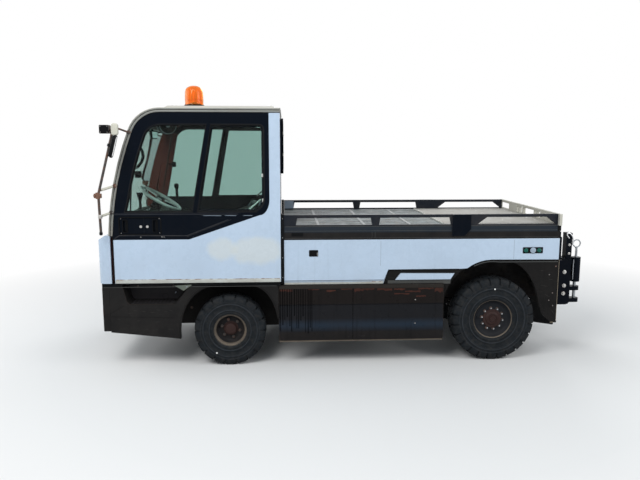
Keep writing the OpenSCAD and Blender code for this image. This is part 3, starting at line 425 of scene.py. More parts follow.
# Each finish: its kind, then what that kind is called with
BROWN_DUST, GREY_DUST, PALE = (0.05, 0.043, 0.038), (0.06, 0.05, 0.042), (0.56, 0.59, 0.57)
CHART = {
    "white_paint": (painted, "white", 0.26, 0.05, 0.4, 0.12, (0.7, 1.1)),
    "nose_paint": (painted, "white", 0.26, 0.09, 0.3, 0.2, (0.7, 1.3)),
    "door_paint": (painted, "white", 0.26, 0.05, 0.4, 0.12, (0.7, 1.1),
                   dict(spots=((1.275, 1.072, 0.135, 0.105, PALE), (0.975, 1.052, 0.235, 0.13, PALE)))),
    "cream_paint": (painted, "cream", 0.42, 0.2, 0.5, 0.25, (1.0, 2.4)),
    "plate_paint": (painted, (0.27, 0.265, 0.24), 0.5, 0.3, 0.35, 0.0, (1.2, 1.3)),
    "black_paint": (painted, "black", 0.42, 0.14, 0.3, 0.3, (0.2, 0.95),
                    dict(grime=(0.05, 0.044, 0.04), shine=0.05)),
    "arch_paint": (painted, "arch", 0.45, 0.16, 0.3, 0.2, (0.2, 0.95),
                   dict(grime=(0.042, 0.038, 0.035), shine=0.04)),
    # On the sill, the bluish band from 0.33 to 0.4 is a painted reflection of the sky on its sloping face
    "sill_paint": (painted, (0.0105, 0.011, 0.013), 0.28, 0.12, 0.3, 0.5, (0.2, 0.5), 0.003,
                   (0.035, 0.027, 0.024), 0.06,
                   ((0.556, 0.8, 0.004, (0.0105, 0.0085, 0.008)), (0.33, 0.4, 0.026, (0.015, 0.023, 0.035)),
                    (0.2, 0.306, 0.008, (0.0125, 0.0115, 0.0115)))),
    # On the channel, the lighter, bluer band above 1.205 is painted sky light on its rounded top
    "channel_paint": (painted, (0.0135, 0.0128, 0.013), 0.4, 0.14, 0.5, 0.2, (1.1, 1.3),
                      dict(grime=BROWN_DUST, shine=0.05,
                           zones=((1.205, 1.3, 0.006, (0.02, 0.026, 0.034)),))),
    "frame_paint": (painted, (0.0026, 0.0046, 0.0085), 0.22, 0.008, 0.0, 0.2, (1.1, 1.4),
                    dict(shine=0.035)),
    "board_paint": (painted, (0.012, 0.015, 0.021), 0.36, 0.08, 0.3, 0.2, (1.1, 1.4), dict(shine=0.08)),
    "brown_paint": (painted, (0.085, 0.017, 0.013), 0.4, 0.02, 0.1, 0.3, (0.8, 2.0), dict(shine=0.08)),
    "hub_paint": (painted, (0.027, 0.013, 0.0115), 0.5, 0.1, 0.3, 0.0, (0.1, 0.6),
                  dict(grime=(0.08, 0.05, 0.04), shine=0.15)),
    "disc_paint": (painted, (0.0085, 0.0085, 0.01), 0.5, 0.12, 0.4, 0.0, (0.1, 0.6),
                   dict(grime=(0.08, 0.06, 0.045), shine=0.12)),
    "rear_disc_paint": (painted, (0.0105, 0.012, 0.015), 0.5, 0.1, 0.3, 0.0, (0.1, 0.6),
                        dict(grime=BROWN_DUST, shine=0.1)),
    "lip_paint": (painted, (0.092, 0.076, 0.06), 0.5, 0.3, 0.9, 0.0, (0.1, 0.6)),
    "band_paint": (painted, (0.3, 0.37, 0.45), 0.35, 0.2, 0.2, 0.2, (0.7, 0.9)),
    # Thin light grey lines along flanges, creases and lips: painted highlights where those edges catch the
    # light
    "flange_paint": (painted, (0.06, 0.063, 0.062), 0.45, 0.1, 0.3, 0.1, (0.2, 0.9), dict(shine=0.12)),
    "edge_paint": (painted, (0.26, 0.22, 0.16), 0.5, 0.2, 0.9, 0.0, (0.1, 0.9)),
    "gutter_paint": (painted, (0.21, 0.225, 0.215), 0.38, 0.3, 0.6, 0.3, (1.0, 2.6)),
    "strip_paint": (painted, (0.47, 0.49, 0.46), 0.4, 0.25, 1.0, 0.2, (0.7, 1.2)),
    "shell_paint": (painted, (0.55, 0.54, 0.46), 0.4, 0.2, 0.1, 0.2, (1.0, 2.4)),
    "rust_patch": (painted, (0.06, 0.024, 0.018), 0.75, 0.6, dict(grime=(0.022, 0.014, 0.013), shine=0.05)),
    "seam_dark": (painted, (0.25, 0.29, 0.34), 0.6, 0.1, dict(shine=0.1)),
    "edge_bright": (painted, (0.72, 0.72, 0.66), 0.4, 0.1, 0.3, 0.0, (1.0, 1.3)),
    "edge_dark": (painted, (0.02, 0.017, 0.015), 0.5, 0.1, 0.5,
                  dict(grime=(0.05, 0.04, 0.034), shine=0.08)),
    "gusset_paint": (painted, (0.105, 0.125, 0.105), 0.5, 0.2, 0.4, dict(shine=0.15)),
    "well_paint": (painted, (0.026, 0.025, 0.028), 0.5, 0.2, 0.4, dict(grime=GREY_DUST, shine=0.08)),
    "scratch": (painted, (0.04, 0.038, 0.036), 0.6, 0.0, dict(shine=0.05)),
    "oil": (painted, (0.0012, 0.0012, 0.0015), 0.5, 0.0, dict(shine=0.0)),
    "seam_rust": (rusty,),
    "glass": (pane, (0.46, 0.6, 0.565)),
    "screen_glass": (pane, (0.74, 0.86, 0.83)),
    "mirror": (metal, (0.86, 0.88, 0.9), 0.03),
    "reflector": (metal, (0.9, 0.9, 0.92), 0.1),
    "chrome": (metal, (0.82, 0.83, 0.85), 0.12),
    "zinc": (metal, (0.55, 0.55, 0.53), 0.32, 0.3),
    "bare_steel": (metal, (0.16, 0.15, 0.145), 0.45, 0.7, 0.6),
    "dark_steel": (metal, (0.05, 0.045, 0.042), 0.5, 0.6, 0.4),
    "silver": (metal, (0.36, 0.38, 0.4), 0.34, 0.0, 0.5),
    "rusty_clamp": (metal, (0.17, 0.09, 0.06), 0.6, 0.9, 0.4),
    "iron": (iron,),
    "engine_iron": (iron, (0.03, 0.032, 0.033), 0.3),
    "tyre": (rubber, (0.0068, 0.0086, 0.0105), 0.18),
    # Lighter rubber for the sidewall ridges: a painted highlight
    "tyre_edge": (rubber, (0.017, 0.02, 0.024), 0.1),
    "seal": (rubber, (0.005, 0.0055, 0.0065), 0.06),
    "black_plastic": (plastic, (0.003, 0.0034, 0.0042), 0.48, dict(dust=0.015, shine=0.06)),
    "grey_plastic": (plastic, (0.55, 0.56, 0.54), 0.45, dict(dust=0.3)),
    "dash_plastic": (plastic, (0.016, 0.02, 0.019), 0.55, dict(dust=0.12, shine=0.12)),
    "liner": (plastic, (0.13, 0.13, 0.12), 0.8, 0.0008),
    "wheel_plastic": (plastic, (0.42, 0.44, 0.43), 0.22, 0.0001, 0.1),
    "grip_plastic": (plastic, (0.014, 0.016, 0.017), 0.3, 0.0001, 0.1),
    "yellow_lens": (plastic, (0.95, 0.62, 0.05), 0.3, 0.0001, 0.0),
    "white_dab": (plastic, (0.8, 0.8, 0.78), 0.5),
    "orange_lens": (lens, (1.0, 0.36, 0.012), 0.05, 0.12, 0.82),
    "red_lens": (lens, (0.55, 0.012, 0.01), 0.14, 0.6),
    "green_lens": (lens, (0.008, 0.13, 0.1), 0.2, 0.3),
    "clear_lens": (lens, (0.85, 0.87, 0.9), 0.08, 0.6),
    "seat_cover": (vinyl, (0.014, 0.016, 0.019)),
    "deck_sheet": (deck_sheet,),
}
# Finishes made so far, by name
FINISHES = {}


def finish(name):
    """The named finish, made on first use."""
    if name not in FINISHES:
        kind, *values = CHART[name]
        named = values.pop() if values and isinstance(values[-1], dict) else {}
        FINISHES[name] = kind(name, *values, **named)
    return FINISHES[name]


# Forms
def turn(points, centre, degrees):
    """Points in two axes turned about a centre."""
    c, s = cos(radians(degrees)), sin(radians(degrees))
    out = []
    for x, z in points:
        u, v = x - centre[0], z - centre[1]
        out.append((centre[0] + c * u - s * v, centre[1] + s * u + c * v))
    return out


def rounded(x0, z0, x1, z1, r, n=5):
    """Rectangle with round corners."""
    r = min(r, (x1 - x0) / 2 - 1e-4, (z1 - z0) / 2 - 1e-4)
    out = []
    for cx, cz, a in ((x1 - r, z1 - r, 0), (x0 + r, z1 - r, 90), (x0 + r, z0 + r, 180),
                      (x1 - r, z0 + r, 270)):
        out += arc((cx, cz), r, a, a + 90, n)
    return out


def inset(outline, d):
    """Closed outline moved inwards by d; it runs anticlockwise or clockwise."""
    n = len(outline)
    area = sum(outline[i][0] * outline[(i + 1) % n][1] - outline[(i + 1) % n][0] * outline[i][1]
               for i in range(n))
    d = d if area > 0 else -d
    out = []
    for i in range(n):
        p, q, r = (Vector(outline[(i + k) % n]) for k in (-1, 0, 1))
        a, b = (q - p).normalized(), (r - q).normalized()
        na, nb = Vector((-a.y, a.x)), Vector((-b.y, b.x))
        mid = (na + nb) / max(0.35, 1 + na.dot(nb))
        out.append(tuple(q + mid * d))
    return out


def chamfer(outline, radius):
    """Closed outline with its corners rounded."""
    out = []
    count, n = len(outline), 3
    for i in range(count):
        q = Vector(outline[i])
        p, r = Vector(outline[i - 1]), Vector(outline[(i + 1) % count])
        a, b = p - q, r - q
        d = min(radius, a.length * 0.45, b.length * 0.45)
        s, e = q + a.normalized() * d, q + b.normalized() * d
        for k in range(n + 1):
            t = k / n
            out.append(tuple(s * (1 - t) ** 2 + q * 2 * t * (1 - t) + e * t ** 2))
    return out


def lift(point, axis, t):
    """A point of two axes at place t of the third."""
    return {"X": (t, point[0], point[1]), "Y": (point[0], t, point[1]), "Z": (point[0], point[1], t)}[axis]


def place(at, *turns):
    """Matrix that turns by (axis, degrees), the last turn first, and then moves to a point."""
    out = Matrix.Translation(at)
    for axis, degrees in turns:
        out = out @ Matrix.Rotation(radians(degrees), 4, axis)
    return out


def add_object(name, data):
    """A new object in the scene."""
    made = bpy.data.objects.new(name, data)
    bpy.context.scene.collection.objects.link(made)
    return made


def axes(direction):
    """A direction and two more at right angles to it."""
    d = Vector(direction).normalized()
    u = d.orthogonal().normalized()
    return d, u, d.cross(u)


class Form:
    """Closed solids gathered into one object that rides on one body."""

    def __init__(self, name, body="chassis", at=None):
        self.name, self.body = name, body
        self.mesh = bmesh.new()
        self.coats = []
        self.at = at or Matrix()

    def skin(self, points, faces, coat, soft=0.0):
        """Adds one solid; its sharp edges are rounded by soft."""
        if coat not in self.coats:
            self.coats.append(coat)
        index = self.coats.index(coat)
        part = bmesh.new()
        verts = [part.verts.new(self.at @ Vector(p)) for p in points]
        for face in faces:
            made = part.faces.new([verts[i] for i in face])
            made.material_index = index
            made.smooth = True
        bmesh.ops.recalc_face_normals(part, faces=part.faces)
        if soft:
            sharp = [e for e in part.edges if len(e.link_faces) == 2 and e.calc_face_angle(0) > 0.62]
            if sharp:
                bmesh.ops.bevel(part, geom=sharp, offset=soft, segments=2, profile=0.5, affect="EDGES",
                                clamp_overlap=True, material=-1)
        held = bpy.data.meshes.new("part")
        part.to_mesh(held)
        part.free()
        self.mesh.from_mesh(held)
        bpy.data.meshes.remove(held)

    def loft(self, rings, coat, soft=0.0, closed=False):
        """Skin through rings of equal count."""
        n, m = len(rings[0]), len(rings)
        faces = []
        for i in range(m if closed else m - 1):
            a, b = i * n, ((i + 1) % m) * n
            faces += [(a + j, a + (j + 1) % n, b + (j + 1) % n, b + j) for j in range(n)]
        if not closed:
            faces.append(tuple(range(n - 1, -1, -1)))
            faces.append(tuple((m - 1) * n + j for j in range(n)))
        self.skin([p for ring in rings for p in ring], faces, coat, soft)

    def slab(self, outline, axis, a, b, coat, soft=0.0015):
        """Outline in two axes swept from a to b along the third."""
        self.loft([[lift(p, axis, a) for p in outline], [lift(p, axis, b) for p in outline]], coat, soft)

    def border(self, outer, inner, axis, a, b, coat, soft=0.0015):
        """Frame between two outlines of equal count."""
        corners = ((outer, a), (outer, b), (inner, b), (inner, a))
        rings = [[lift(p, axis, t) for p in line] for line, t in corners]
        self.loft(rings, coat, soft, closed=True)

    def box(self, lo, hi, coat, soft=0.0015):
        """Block between two corners."""
        self.slab(rect(lo[0], lo[1], hi[0], hi[1]), "Z", lo[2], hi[2], coat, soft)

    def turned(self, profile, centre, direction, coat, n=28, soft=0.0, phase=0.0):
        """Profile of (along, radius) turned about a line; a radius of 0 closes it in a point."""
        c, (d, u, v) = Vector(centre), axes(direction)
        points, rings, faces = [], [], []
        for along, r in profile:
            if r <= 0:
                rings.append([len(points)])
                points.append(c + d * along)
                continue
            rings.append(list(range(len(points), len(points) + n)))
            for i in range(n):
                a = tau * (i + phase) / n
                points.append(c + d * along + (u * cos(a) + v * sin(a)) * r)
        for a, b in zip(rings, rings[1:]):
            for i in range(n):
                j = (i + 1) % n
                if len(a) == 1:
                    faces.append((a[0], b[j], b[i]))
                elif len(b) == 1:
                    faces.append((a[i], a[j], b[0]))
                else:
                    faces.append((a[i], a[j], b[j], b[i]))
        for ring in (rings[0], rings[-1]):
            if len(ring) > 1:
                faces.append(tuple(ring))
        self.skin(points, faces, coat, soft)

    def ring(self, profile, centre, direction, coat, n=96, soft=0.0):
        """Closed profile of (along, radius) turned about a line."""
        c, (d, u, v) = Vector(centre), axes(direction)
        rings = []
        for i in range(n):
            a = tau * i / n
            out = u * cos(a) + v * sin(a)
            rings.append([c + d * along + out * r for along, r in profile])
        self.loft(rings, coat, soft, closed=True)

    def rod(self, path, r, coat, n=12, closed=False, up=None, section=None, soft=0.0):
        """Bar along a path: round, or of a section given as (side, up)."""
        pts = [Vector(p) for p in path]
        count = len(pts)
        runs = [(pts[(i + 1) % count] - pts[i]).normalized() for i in range(count if closed else count - 1)]
        shape = section or circle(r, n)
        side = (runs[0].cross(Vector(up)) if up else runs[0].orthogonal()).normalized()
        rings = []
        for i in range(count):
            d = runs[i - 1] if (i or closed) else runs[0]
            nxt = runs[i % len(runs)] if (closed or i < count - 1) else d
            if up:
                side = d.cross(Vector(up)).normalized()
            else:
                side = (side - d * side.dot(d)).normalized()
            top = side.cross(d)
            plane = (d + nxt).normalized()
            ring = []
            for s, t in shape:
                o = side * s + top * t
                ring.append(pts[i] + o - d * (o.dot(plane) / max(0.2, d.dot(plane))))
            rings.append(ring)
        self.loft(rings, coat, soft, closed=closed)

    def ball(self, centre, r, coat, squash=(1, 1, 1), n=16):
        """Ball, squashed along the axes."""
        centre, (rx, ry, rz) = Vector(centre), (r * s for s in squash)
        points = [centre + Vector((0, 0, -rz))]
        faces = []
        for i in range(1, n // 2):
            b = pi * (i / (n // 2) - 0.5)
            for j in range(n):
                a = tau * j / n
                points.append(centre + Vector((rx * cos(b) * cos(a), ry * cos(b) * sin(a), rz * sin(b))))
        points.append(centre + Vector((0, 0, rz)))
        last = len(points) - 1
        for j in range(n):
            k = (j + 1) % n
            faces.append((0, 1 + k, 1 + j))
            for i in range(n // 2 - 2):
                a, b = 1 + i * n, 1 + (i + 1) * n
                faces.append((a + j, a + k, b + k, b + j))
            faces.append((last - n + j, last - n + k, last))
        self.skin(points, faces, coat)

    def bolt(self, at, direction, r=0.009, coat="zinc", washer=True):
        """Hexagon head on a washer."""
        d = Vector(direction).normalized()
        start = Vector(at)
        if washer:
            self.turned([(-0.001, r * 1.45), (r * 0.2, r * 1.45), (r * 0.26, r * 1.3)], start, d, coat, 20)
        self.turned([(0, r * 0.9), (r * 0.2, r), (r * 0.75, r), (r * 0.9, r * 0.82)], start, d, coat, 6,
                    r * 0.06)

    def stud(self, at, direction, r=0.006, coat="zinc"):
        """Domed rivet or screw head."""
        self.turned([(-0.001, r), (r * 0.15, r), (r * 0.5, r * 0.72), (r * 0.62, 0)], at, direction, coat,
                    14)

    def done(self, crisp=42):
        """Makes the object, with smooth faces and weighted normals."""
        for edge in self.mesh.edges:
            edge.smooth = len(edge.link_faces) == 2 and edge.calc_face_angle(0) < radians(crisp)
        mesh = bpy.data.meshes.new(self.name)
        self.mesh.to_mesh(mesh)
        self.mesh.free()
        for coat in self.coats:
            mesh.materials.append(finish(coat))
        piece = add_object(self.name, mesh)
        even = piece.modifiers.new("even", "WEIGHTED_NORMAL")
        even.keep_sharp = True
        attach(piece, self.body)
        return piece


def both(draw):
    """The piece named after the function that draws its left side, mirrored on the right as well."""
    form = Form(draw.__name__)
    for side in (1, -1):
        form.at = mirrored(side)
        draw(form)
    form.at = Matrix()
    return form


def wheel_place(wheel, side):
    """Where a wheel's middle stands, its outer face towards the side."""
    return Matrix.Translation((wheel["x"], side * wheel["y"], wheel["z"])) @ mirrored(side)


# Wheels
TREAD = 0.0165


def tyre_piece(name, wheel, side, lugs):
    """Solid industrial tyre: ringed sidewalls, three rows of tread blocks and a valve-side dot."""
    form = Form("tyre_dressed_" + name, "wheel_" + name, wheel_place(wheel, side))
    w, r, rim = wheel["w"], wheel["r"], wheel["rim"]
    groove = r - TREAD
    half = [(0.345, rim - 0.01), (0.4, rim - 0.006), (0.425, rim + 0.004), (0.445, rim + 0.009),
            (0.452, rim + 0.015), (0.438, rim + 0.02), (0.44, rim + 0.03), (0.472, rim + 0.036),
            (0.476, rim + 0.042), (0.452, rim + 0.048), (0.448, rim + 0.06),
            (0.462, rim + (r - rim) * 0.44), (0.47, r * 0.715), (0.498, r * 0.738), (0.502, r * 0.756),
            (0.484, r * 0.774), (0.484, r * 0.8), (0.496, r * 0.835), (0.468, r * 0.852), (0.445, r * 0.9),
            (0.412, r - 0.02), (0.34, r - 0.0145), (0.14, r - 0.0135)]
    profile = [(o * w, q) for o, q in half] + [(-o * w, q) for o, q in reversed(half)]
    form.ring(profile, CENTRE, LEFT, "tyre", 120)
    # Lighter rings on the sidewall's ridges: a painted highlight where the ridges catch the light
    for low, top, out in ((r * 0.746, r * 0.764, 0.5035), (rim + 0.035, rim + 0.042, 0.4775),
                          (r * 0.822, r * 0.828, 0.4965)):
        form.ring([((out - 0.006) * w, low - 0.001), (out * w, low + 0.001), (out * w, top - 0.001),
                   ((out - 0.006) * w, top + 0.001)], CENTRE, LEFT, "tyre_edge", 96)
    step = tau / lugs
    shoulder = [(0.155, groove), (0.155, r - 0.0008), (0.3, r), (0.385, r - 0.002), (0.44, r - 0.01),
                (0.478, r - 0.028), (0.497, r * 0.885), (0.5015, r * 0.845), (0.495, r * 0.826),
                (0.462, r * 0.826), (0.43, r * 0.9), (0.4, r - 0.024)]
    middle = [(-0.125, groove), (-0.125, r - 0.001), (0.125, r - 0.001), (0.125, groove)]
    for i in range(lugs):
        for sign, section, shift, wide, skew in ((1, shoulder, 0.0, 0.43, 0.05),
                                                 (-1, shoulder, 0.5, 0.43, 0.05),
                                                 (1, middle, 0.25, 0.4, 0.13)):
            rings = []
            for k in range(6):
                ring = []
                for o, q in section:
                    tall = (q - groove) / TREAD
                    spread = wide - (0.012 if tall > 0.7 else 0.0)
                    a = (i + shift + (k / 5 * 2 - 1) * spread) * step + skew * (0.5 - o) * step * 2
                    ring.append((q * sin(a), sign * o * w, q * cos(a)))
                rings.append(ring)
            form.loft(rings, "tyre", 0.0022)
    x, z = wheel["dab"]
    form.turned([(-0.004, 0.0075), (0.0016, 0.0075), (0.0022, 0.006)], (x, wheel["dab_out"] * w, z), LEFT,
                "white_dab", 16)
    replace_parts(form.done(35), "tyre_" + name)


def rim_piece(name, wheel, side):
    """Welded rim: rolled lip, dished disc, hub with cap and wheel nuts."""
    form = Form("rim_dressed_" + name, "wheel_" + name, wheel_place(wheel, side))
    rim, dish, hub, nuts = (wheel[key] for key in ("rim", "dish", "hub", "nuts"))
    hl = wheel["w"] * 0.36 + 0.008
    form.ring([(-hl, rim + 0.004), (-hl + 0.012, rim - 0.011), (hl - 0.02, rim - 0.011),
               (hl - 0.009, rim - 0.001), (hl - 0.001, rim + 0.001), (hl + 0.002, rim - 0.003),
               (hl - 0.004, rim - 0.008), (hl - 0.014, rim - 0.018), (-hl + 0.016, rim - 0.018),
               (-hl, rim - 0.006)], CENTRE, LEFT, "lip_paint", 96, 0.001)
    form.ring([(hl - 0.0245, rim - 0.0165), (hl - 0.0205, rim - 0.02), (hl - 0.0255, rim - 0.0235),
               (hl - 0.0295, rim - 0.02)], CENTRE, LEFT, "lip_paint", 72, 0.001)
    deep = rim - 0.0175
    front = [(dish + 0.03, deep), (dish + 0.026, deep - 0.007), (dish + 0.01, deep - 0.016),
             (dish + 0.001, deep - 0.03), (dish, hub + 0.03), (dish + 0.003, hub + 0.016),
             (dish + 0.003, 0)]
    back = [(o - 0.009, q) for o, q in front[:-1]] + [(dish - 0.007, 0)]
    form.turned(back[::-1] + front, CENTRE, LEFT, wheel["disc"], 72)
    cap = dish + 0.026
    if wheel is REAR_WHEEL:
        form.turned([(dish, hub + 0.006), (dish + 0.01, hub + 0.005), (dish + 0.013, hub - 0.002),
                     (dish + 0.013, hub * 0.78), (dish + 0.018, hub * 0.72), (cap - 0.004, hub * 0.66),
                     (cap - 0.002, hub * 0.56), (cap - 0.008, hub * 0.52), (cap - 0.008, hub * 0.34),
                     (cap, hub * 0.3), (cap + 0.001, 0)], CENTRE, LEFT, "hub_paint", 48)
    else:
        form.turned([(dish, hub + 0.012), (dish + 0.008, hub + 0.01), (dish + 0.012, hub),
                     (dish + 0.02, hub * 0.97), (cap + 0.006, hub * 0.9), (cap + 0.012, hub * 0.66),
                     (cap + 0.013, 0)], CENTRE, LEFT, "hub_paint", 48)
    ring = wheel["nut_ring"]
    for i in range(nuts):
        a = tau * (i + 0.25) / nuts
        at = (ring * cos(a), dish + 0.002, ring * sin(a))
        form.turned([(0, 0.0145), (0.003, 0.0145), (0.004, 0.012)], at, LEFT, "dark_steel", 18)
        form.turned([(0.002, 0.0105), (0.014, 0.0105), (0.0155, 0.0085)], at, LEFT, "dark_steel", 6, 0.0005,
                    i)
        form.turned([(0.01, 0.006), (0.0225, 0.006), (0.0235, 0.0045)], at, LEFT, wheel["stud"], 12)
    form.turned([(0, 0.0045), (0.034, 0.004), (0.036, 0.003)], (deep - 0.034, dish, 0.012), (0.25, 1, 0),
                "seal", 10)
    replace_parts(form.done(), "rim_" + name)


WHEELS = (("front_left", FRONT_WHEEL, 1), ("front_right", FRONT_WHEEL, -1), ("rear_left", REAR_WHEEL, 1),
          ("rear_right", REAR_WHEEL, -1))


def make_tyres(size):
    """The four tyres."""
    for name, wheel, side in WHEELS:
        tyre_piece(name, wheel, side, size.front_lugs if wheel is FRONT_WHEEL else size.rear_lugs)


def make_rims():
    """The four rims."""
    for name, wheel, side in WHEELS:
        rim_piece(name, wheel, side)


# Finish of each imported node
COATS = {node: coat for coat, nodes in (
    ("iron", "frame_rails cross_members outriggers front_axle rear_axle leaf_springs bed_bearers bed_posts"),
    ("iron", "knuckle_left knuckle_right tie_rod"),
    ("engine_iron", "engine_block"),
    ("black_paint", "front_bumper skirt_sides step_wells"),
    ("arch_paint", "arch_panels rear_panel"),
    ("sill_paint", "sills"),
    ("nose_paint", "nose_panel"),
    ("white_paint", "bed_sides"),
    ("door_paint", "door_panel_left door_panel_right"),
    ("cream_paint", "roof tailboard"),
    ("plate_paint", "bed_plate"),
    ("frame_paint", "rear_wall bulkhead hitch_frame door_frame_left door_frame_right"),
    ("board_paint", "side_boards"),
    ("channel_paint", "bed_channels"),
    ("brown_paint", "cab_frame"),
    ("black_plastic", "cab_floor wiper cab_controls"),
    ("dash_plastic", "dashboard"),
    ("grey_plastic", "mirror_heads"),
    ("wheel_plastic", "steering_wheel"),
    ("seat_cover", "seats"),
    ("dark_steel", "mirror_arms"),
    ("chrome", "hitch_pin"),
    ("deck_sheet", "bed_floor"),
    ("screen_glass", "windscreen"),
    ("glass", "rear_window door_glass_left door_glass_right"),
    ("clear_lens", "headlamps"),
    ("orange_lens", "beacon"),
    ("red_lens", "tail_lamps"),
) for node in nodes.split()}
# Nodes whose edges stay as they are: the glass and the bed plate
UNBEVELLED = ("windscreen", "rear_window", "door_glass_left", "door_glass_right", "bed_plate")


def dress_frame(soft):
    """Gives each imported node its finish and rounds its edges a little."""
    for name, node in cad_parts.items():
        coat = COATS.get(name)
        if coat is None:
            continue
        node.data.materials.clear()
        node.data.materials.append(finish(coat))
        for polygon in node.data.polygons:
            polygon.material_index = 0
            polygon.use_smooth = True
        weld = node.modifiers.new("weld", "WELD")
        weld.merge_threshold = 1e-5
        if name not in UNBEVELLED:
            flat = node.modifiers.new("flat", "DECIMATE")
            flat.decimate_type = "DISSOLVE"
            flat.angle_limit = radians(0.5)
            edge = node.modifiers.new("edge", "BEVEL")
            edge.width = soft
            edge.segments = 2
            edge.limit_method = "ANGLE"
            edge.angle_limit = radians(32)
            edge.harden_normals = True
        even = node.modifiers.new("even", "WEIGHTED_NORMAL")
        even.keep_sharp = True


# Doors
X_STRIP = X_CAB + 0.095
PANE_IN = DOOR_INSET + 0.1
DIVIDER_TOP, DIVIDER_FOOT, DIVIDER_W = X_FRONT + 0.163, X_FRONT + 0.302, 0.036
PANE_TOP = ROOF_Z - PANE_IN
PANE_BACK = X_STRIP + 0.045


def front_pane():
    """Opening of the front pane, in X and Z."""
    line = cab_line(PANE_IN)
    upper = [p for p in line if p[1] > GLASS_Z + 0.06]
    return [(DIVIDER_FOOT, GLASS_Z), (line[0][0] - 0.01, GLASS_Z)] + upper + [(DIVIDER_TOP, PANE_TOP)]


def rear_pane():
    """Opening of the rear pane, in X and Z."""
    line = [(PANE_BACK + 0.07, GLASS_Z), (DIVIDER_FOOT - DIVIDER_W * 1.2, GLASS_Z),
            (DIVIDER_TOP - DIVIDER_W, PANE_TOP), (PANE_BACK + 0.04, PANE_TOP)]
    line += arc((PANE_BACK + 0.04, PANE_TOP - 0.04), 0.04, 90, 180, 4)
    return line + arc((PANE_BACK + 0.11, GLASS_Z + 0.11), 0.11, 180, 250, 4)


def tidy_line(points):
    """The outline without points that repeat."""
    return [p for i, p in enumerate(points) if dist(p, points[i - 1]) > 1e-4]


def window_gaskets(gasket):
    """Rubber round both panes: outer lip, core and inner lip."""
    for pane in (front_pane(), rear_pane()):
        line = tidy_line(pane)
        gasket.border(inset(line, -0.0005), inset(line, 0.0085), "Y", Y_DOOR - 0.026, Y_DOOR - 0.01, "seal",
                      0.002)
        gasket.border(inset(line, -0.007), inset(line, 0.0015), "Y", Y_DOOR - 0.004, Y_DOOR + 0.0015,
                      "seal", 0.0012)
        gasket.border(inset(line, -0.0005), inset(line, 0.01), "Y", Y_DOOR - 0.0375, Y_DOOR - 0.028, "seal",
                      0.002)


def pane_frames(rails):
    """Inner rail, the divider's beads and the catches of the sliding pane."""
    rear = tidy_line(rear_pane())
    rails.border(inset(rear, 0.0085), inset(rear, 0.02), "Y", Y_DOOR - 0.024, Y_DOOR - 0.0205,
                 "frame_paint", 0.001)
    foot, top = (DIVIDER_FOOT - 0.02, GLASS_Z - 0.006), (DIVIDER_TOP - 0.018, PANE_TOP + 0.006)
    for shift, wide in ((-0.013, 0.004), (0.013, 0.004)):
        rails.slab([(foot[0] + shift - wide, foot[1]), (foot[0] + shift + wide, foot[1]),
                    (top[0] + shift + wide, top[1]), (top[0] + shift - wide, top[1])], "Y", Y_DOOR - 0.001,
                   Y_DOOR + 0.0022, "frame_paint", 0.001)
    rails.box((0.905, Y_DOOR - 0.027, 1.7), (0.922, Y_DOOR - 0.012, 1.728), "grey_plastic", 0.002)
    rails.box((0.903, Y_DOOR - 0.027, 1.482), (0.918, Y_DOOR - 0.012, 1.512), "grey_plastic", 0.002)
    rails.rod([(0.928, Y_DOOR - 0.045, 1.505), (1.036, Y_DOOR - 0.045, 1.412)], 0.007, "grey_plastic", 10)


def belt_panel(belt):
    """Folded beads, scratches and fasteners of the black panel below the panes."""
    y = Y_DOOR - 0.0005
    front = 2.196

    def bead(path, r):
        belt.rod([(x, y, z) for x, z in path], r, "board_paint", up=LEFT, section=circle(r, 10, r * 0.75))

    bead([(front, 1.17), (2.155, 1.195), (1.575, 1.191), (1.215, 1.33)], 0.0045)
    bead([(front, 1.378), (1.13, 1.378)], 0.0045)
    for a, b in ((1.44, 1.27), (1.25, 1.14), (1.09, 1.0)):
        belt.slab([(a, 1.3655), (b, 1.364), (b + 0.01, 1.3672), (a - 0.02, 1.368)], "Y", y - 0.001,
                  y + 0.001, "band_paint", 0.0)
    bead([(front, 1.389), (1.11, 1.389)], 0.0022)
    bead([(1.575, 1.182), (1.19, 1.33)], 0.0022)
    for x in (1.972, 1.79, 1.772):
        belt.box((x - 0.005, y - 0.001, 1.18), (x + 0.005, y + 0.0009, 1.1835), "zinc", 0.0004)
    for x, z in ((1.795, 1.225), (1.66, 1.216), (1.6, 1.3), (1.42, 1.345)):
        belt.stud((x, y, z), LEFT, 0.0045, "frame_paint")


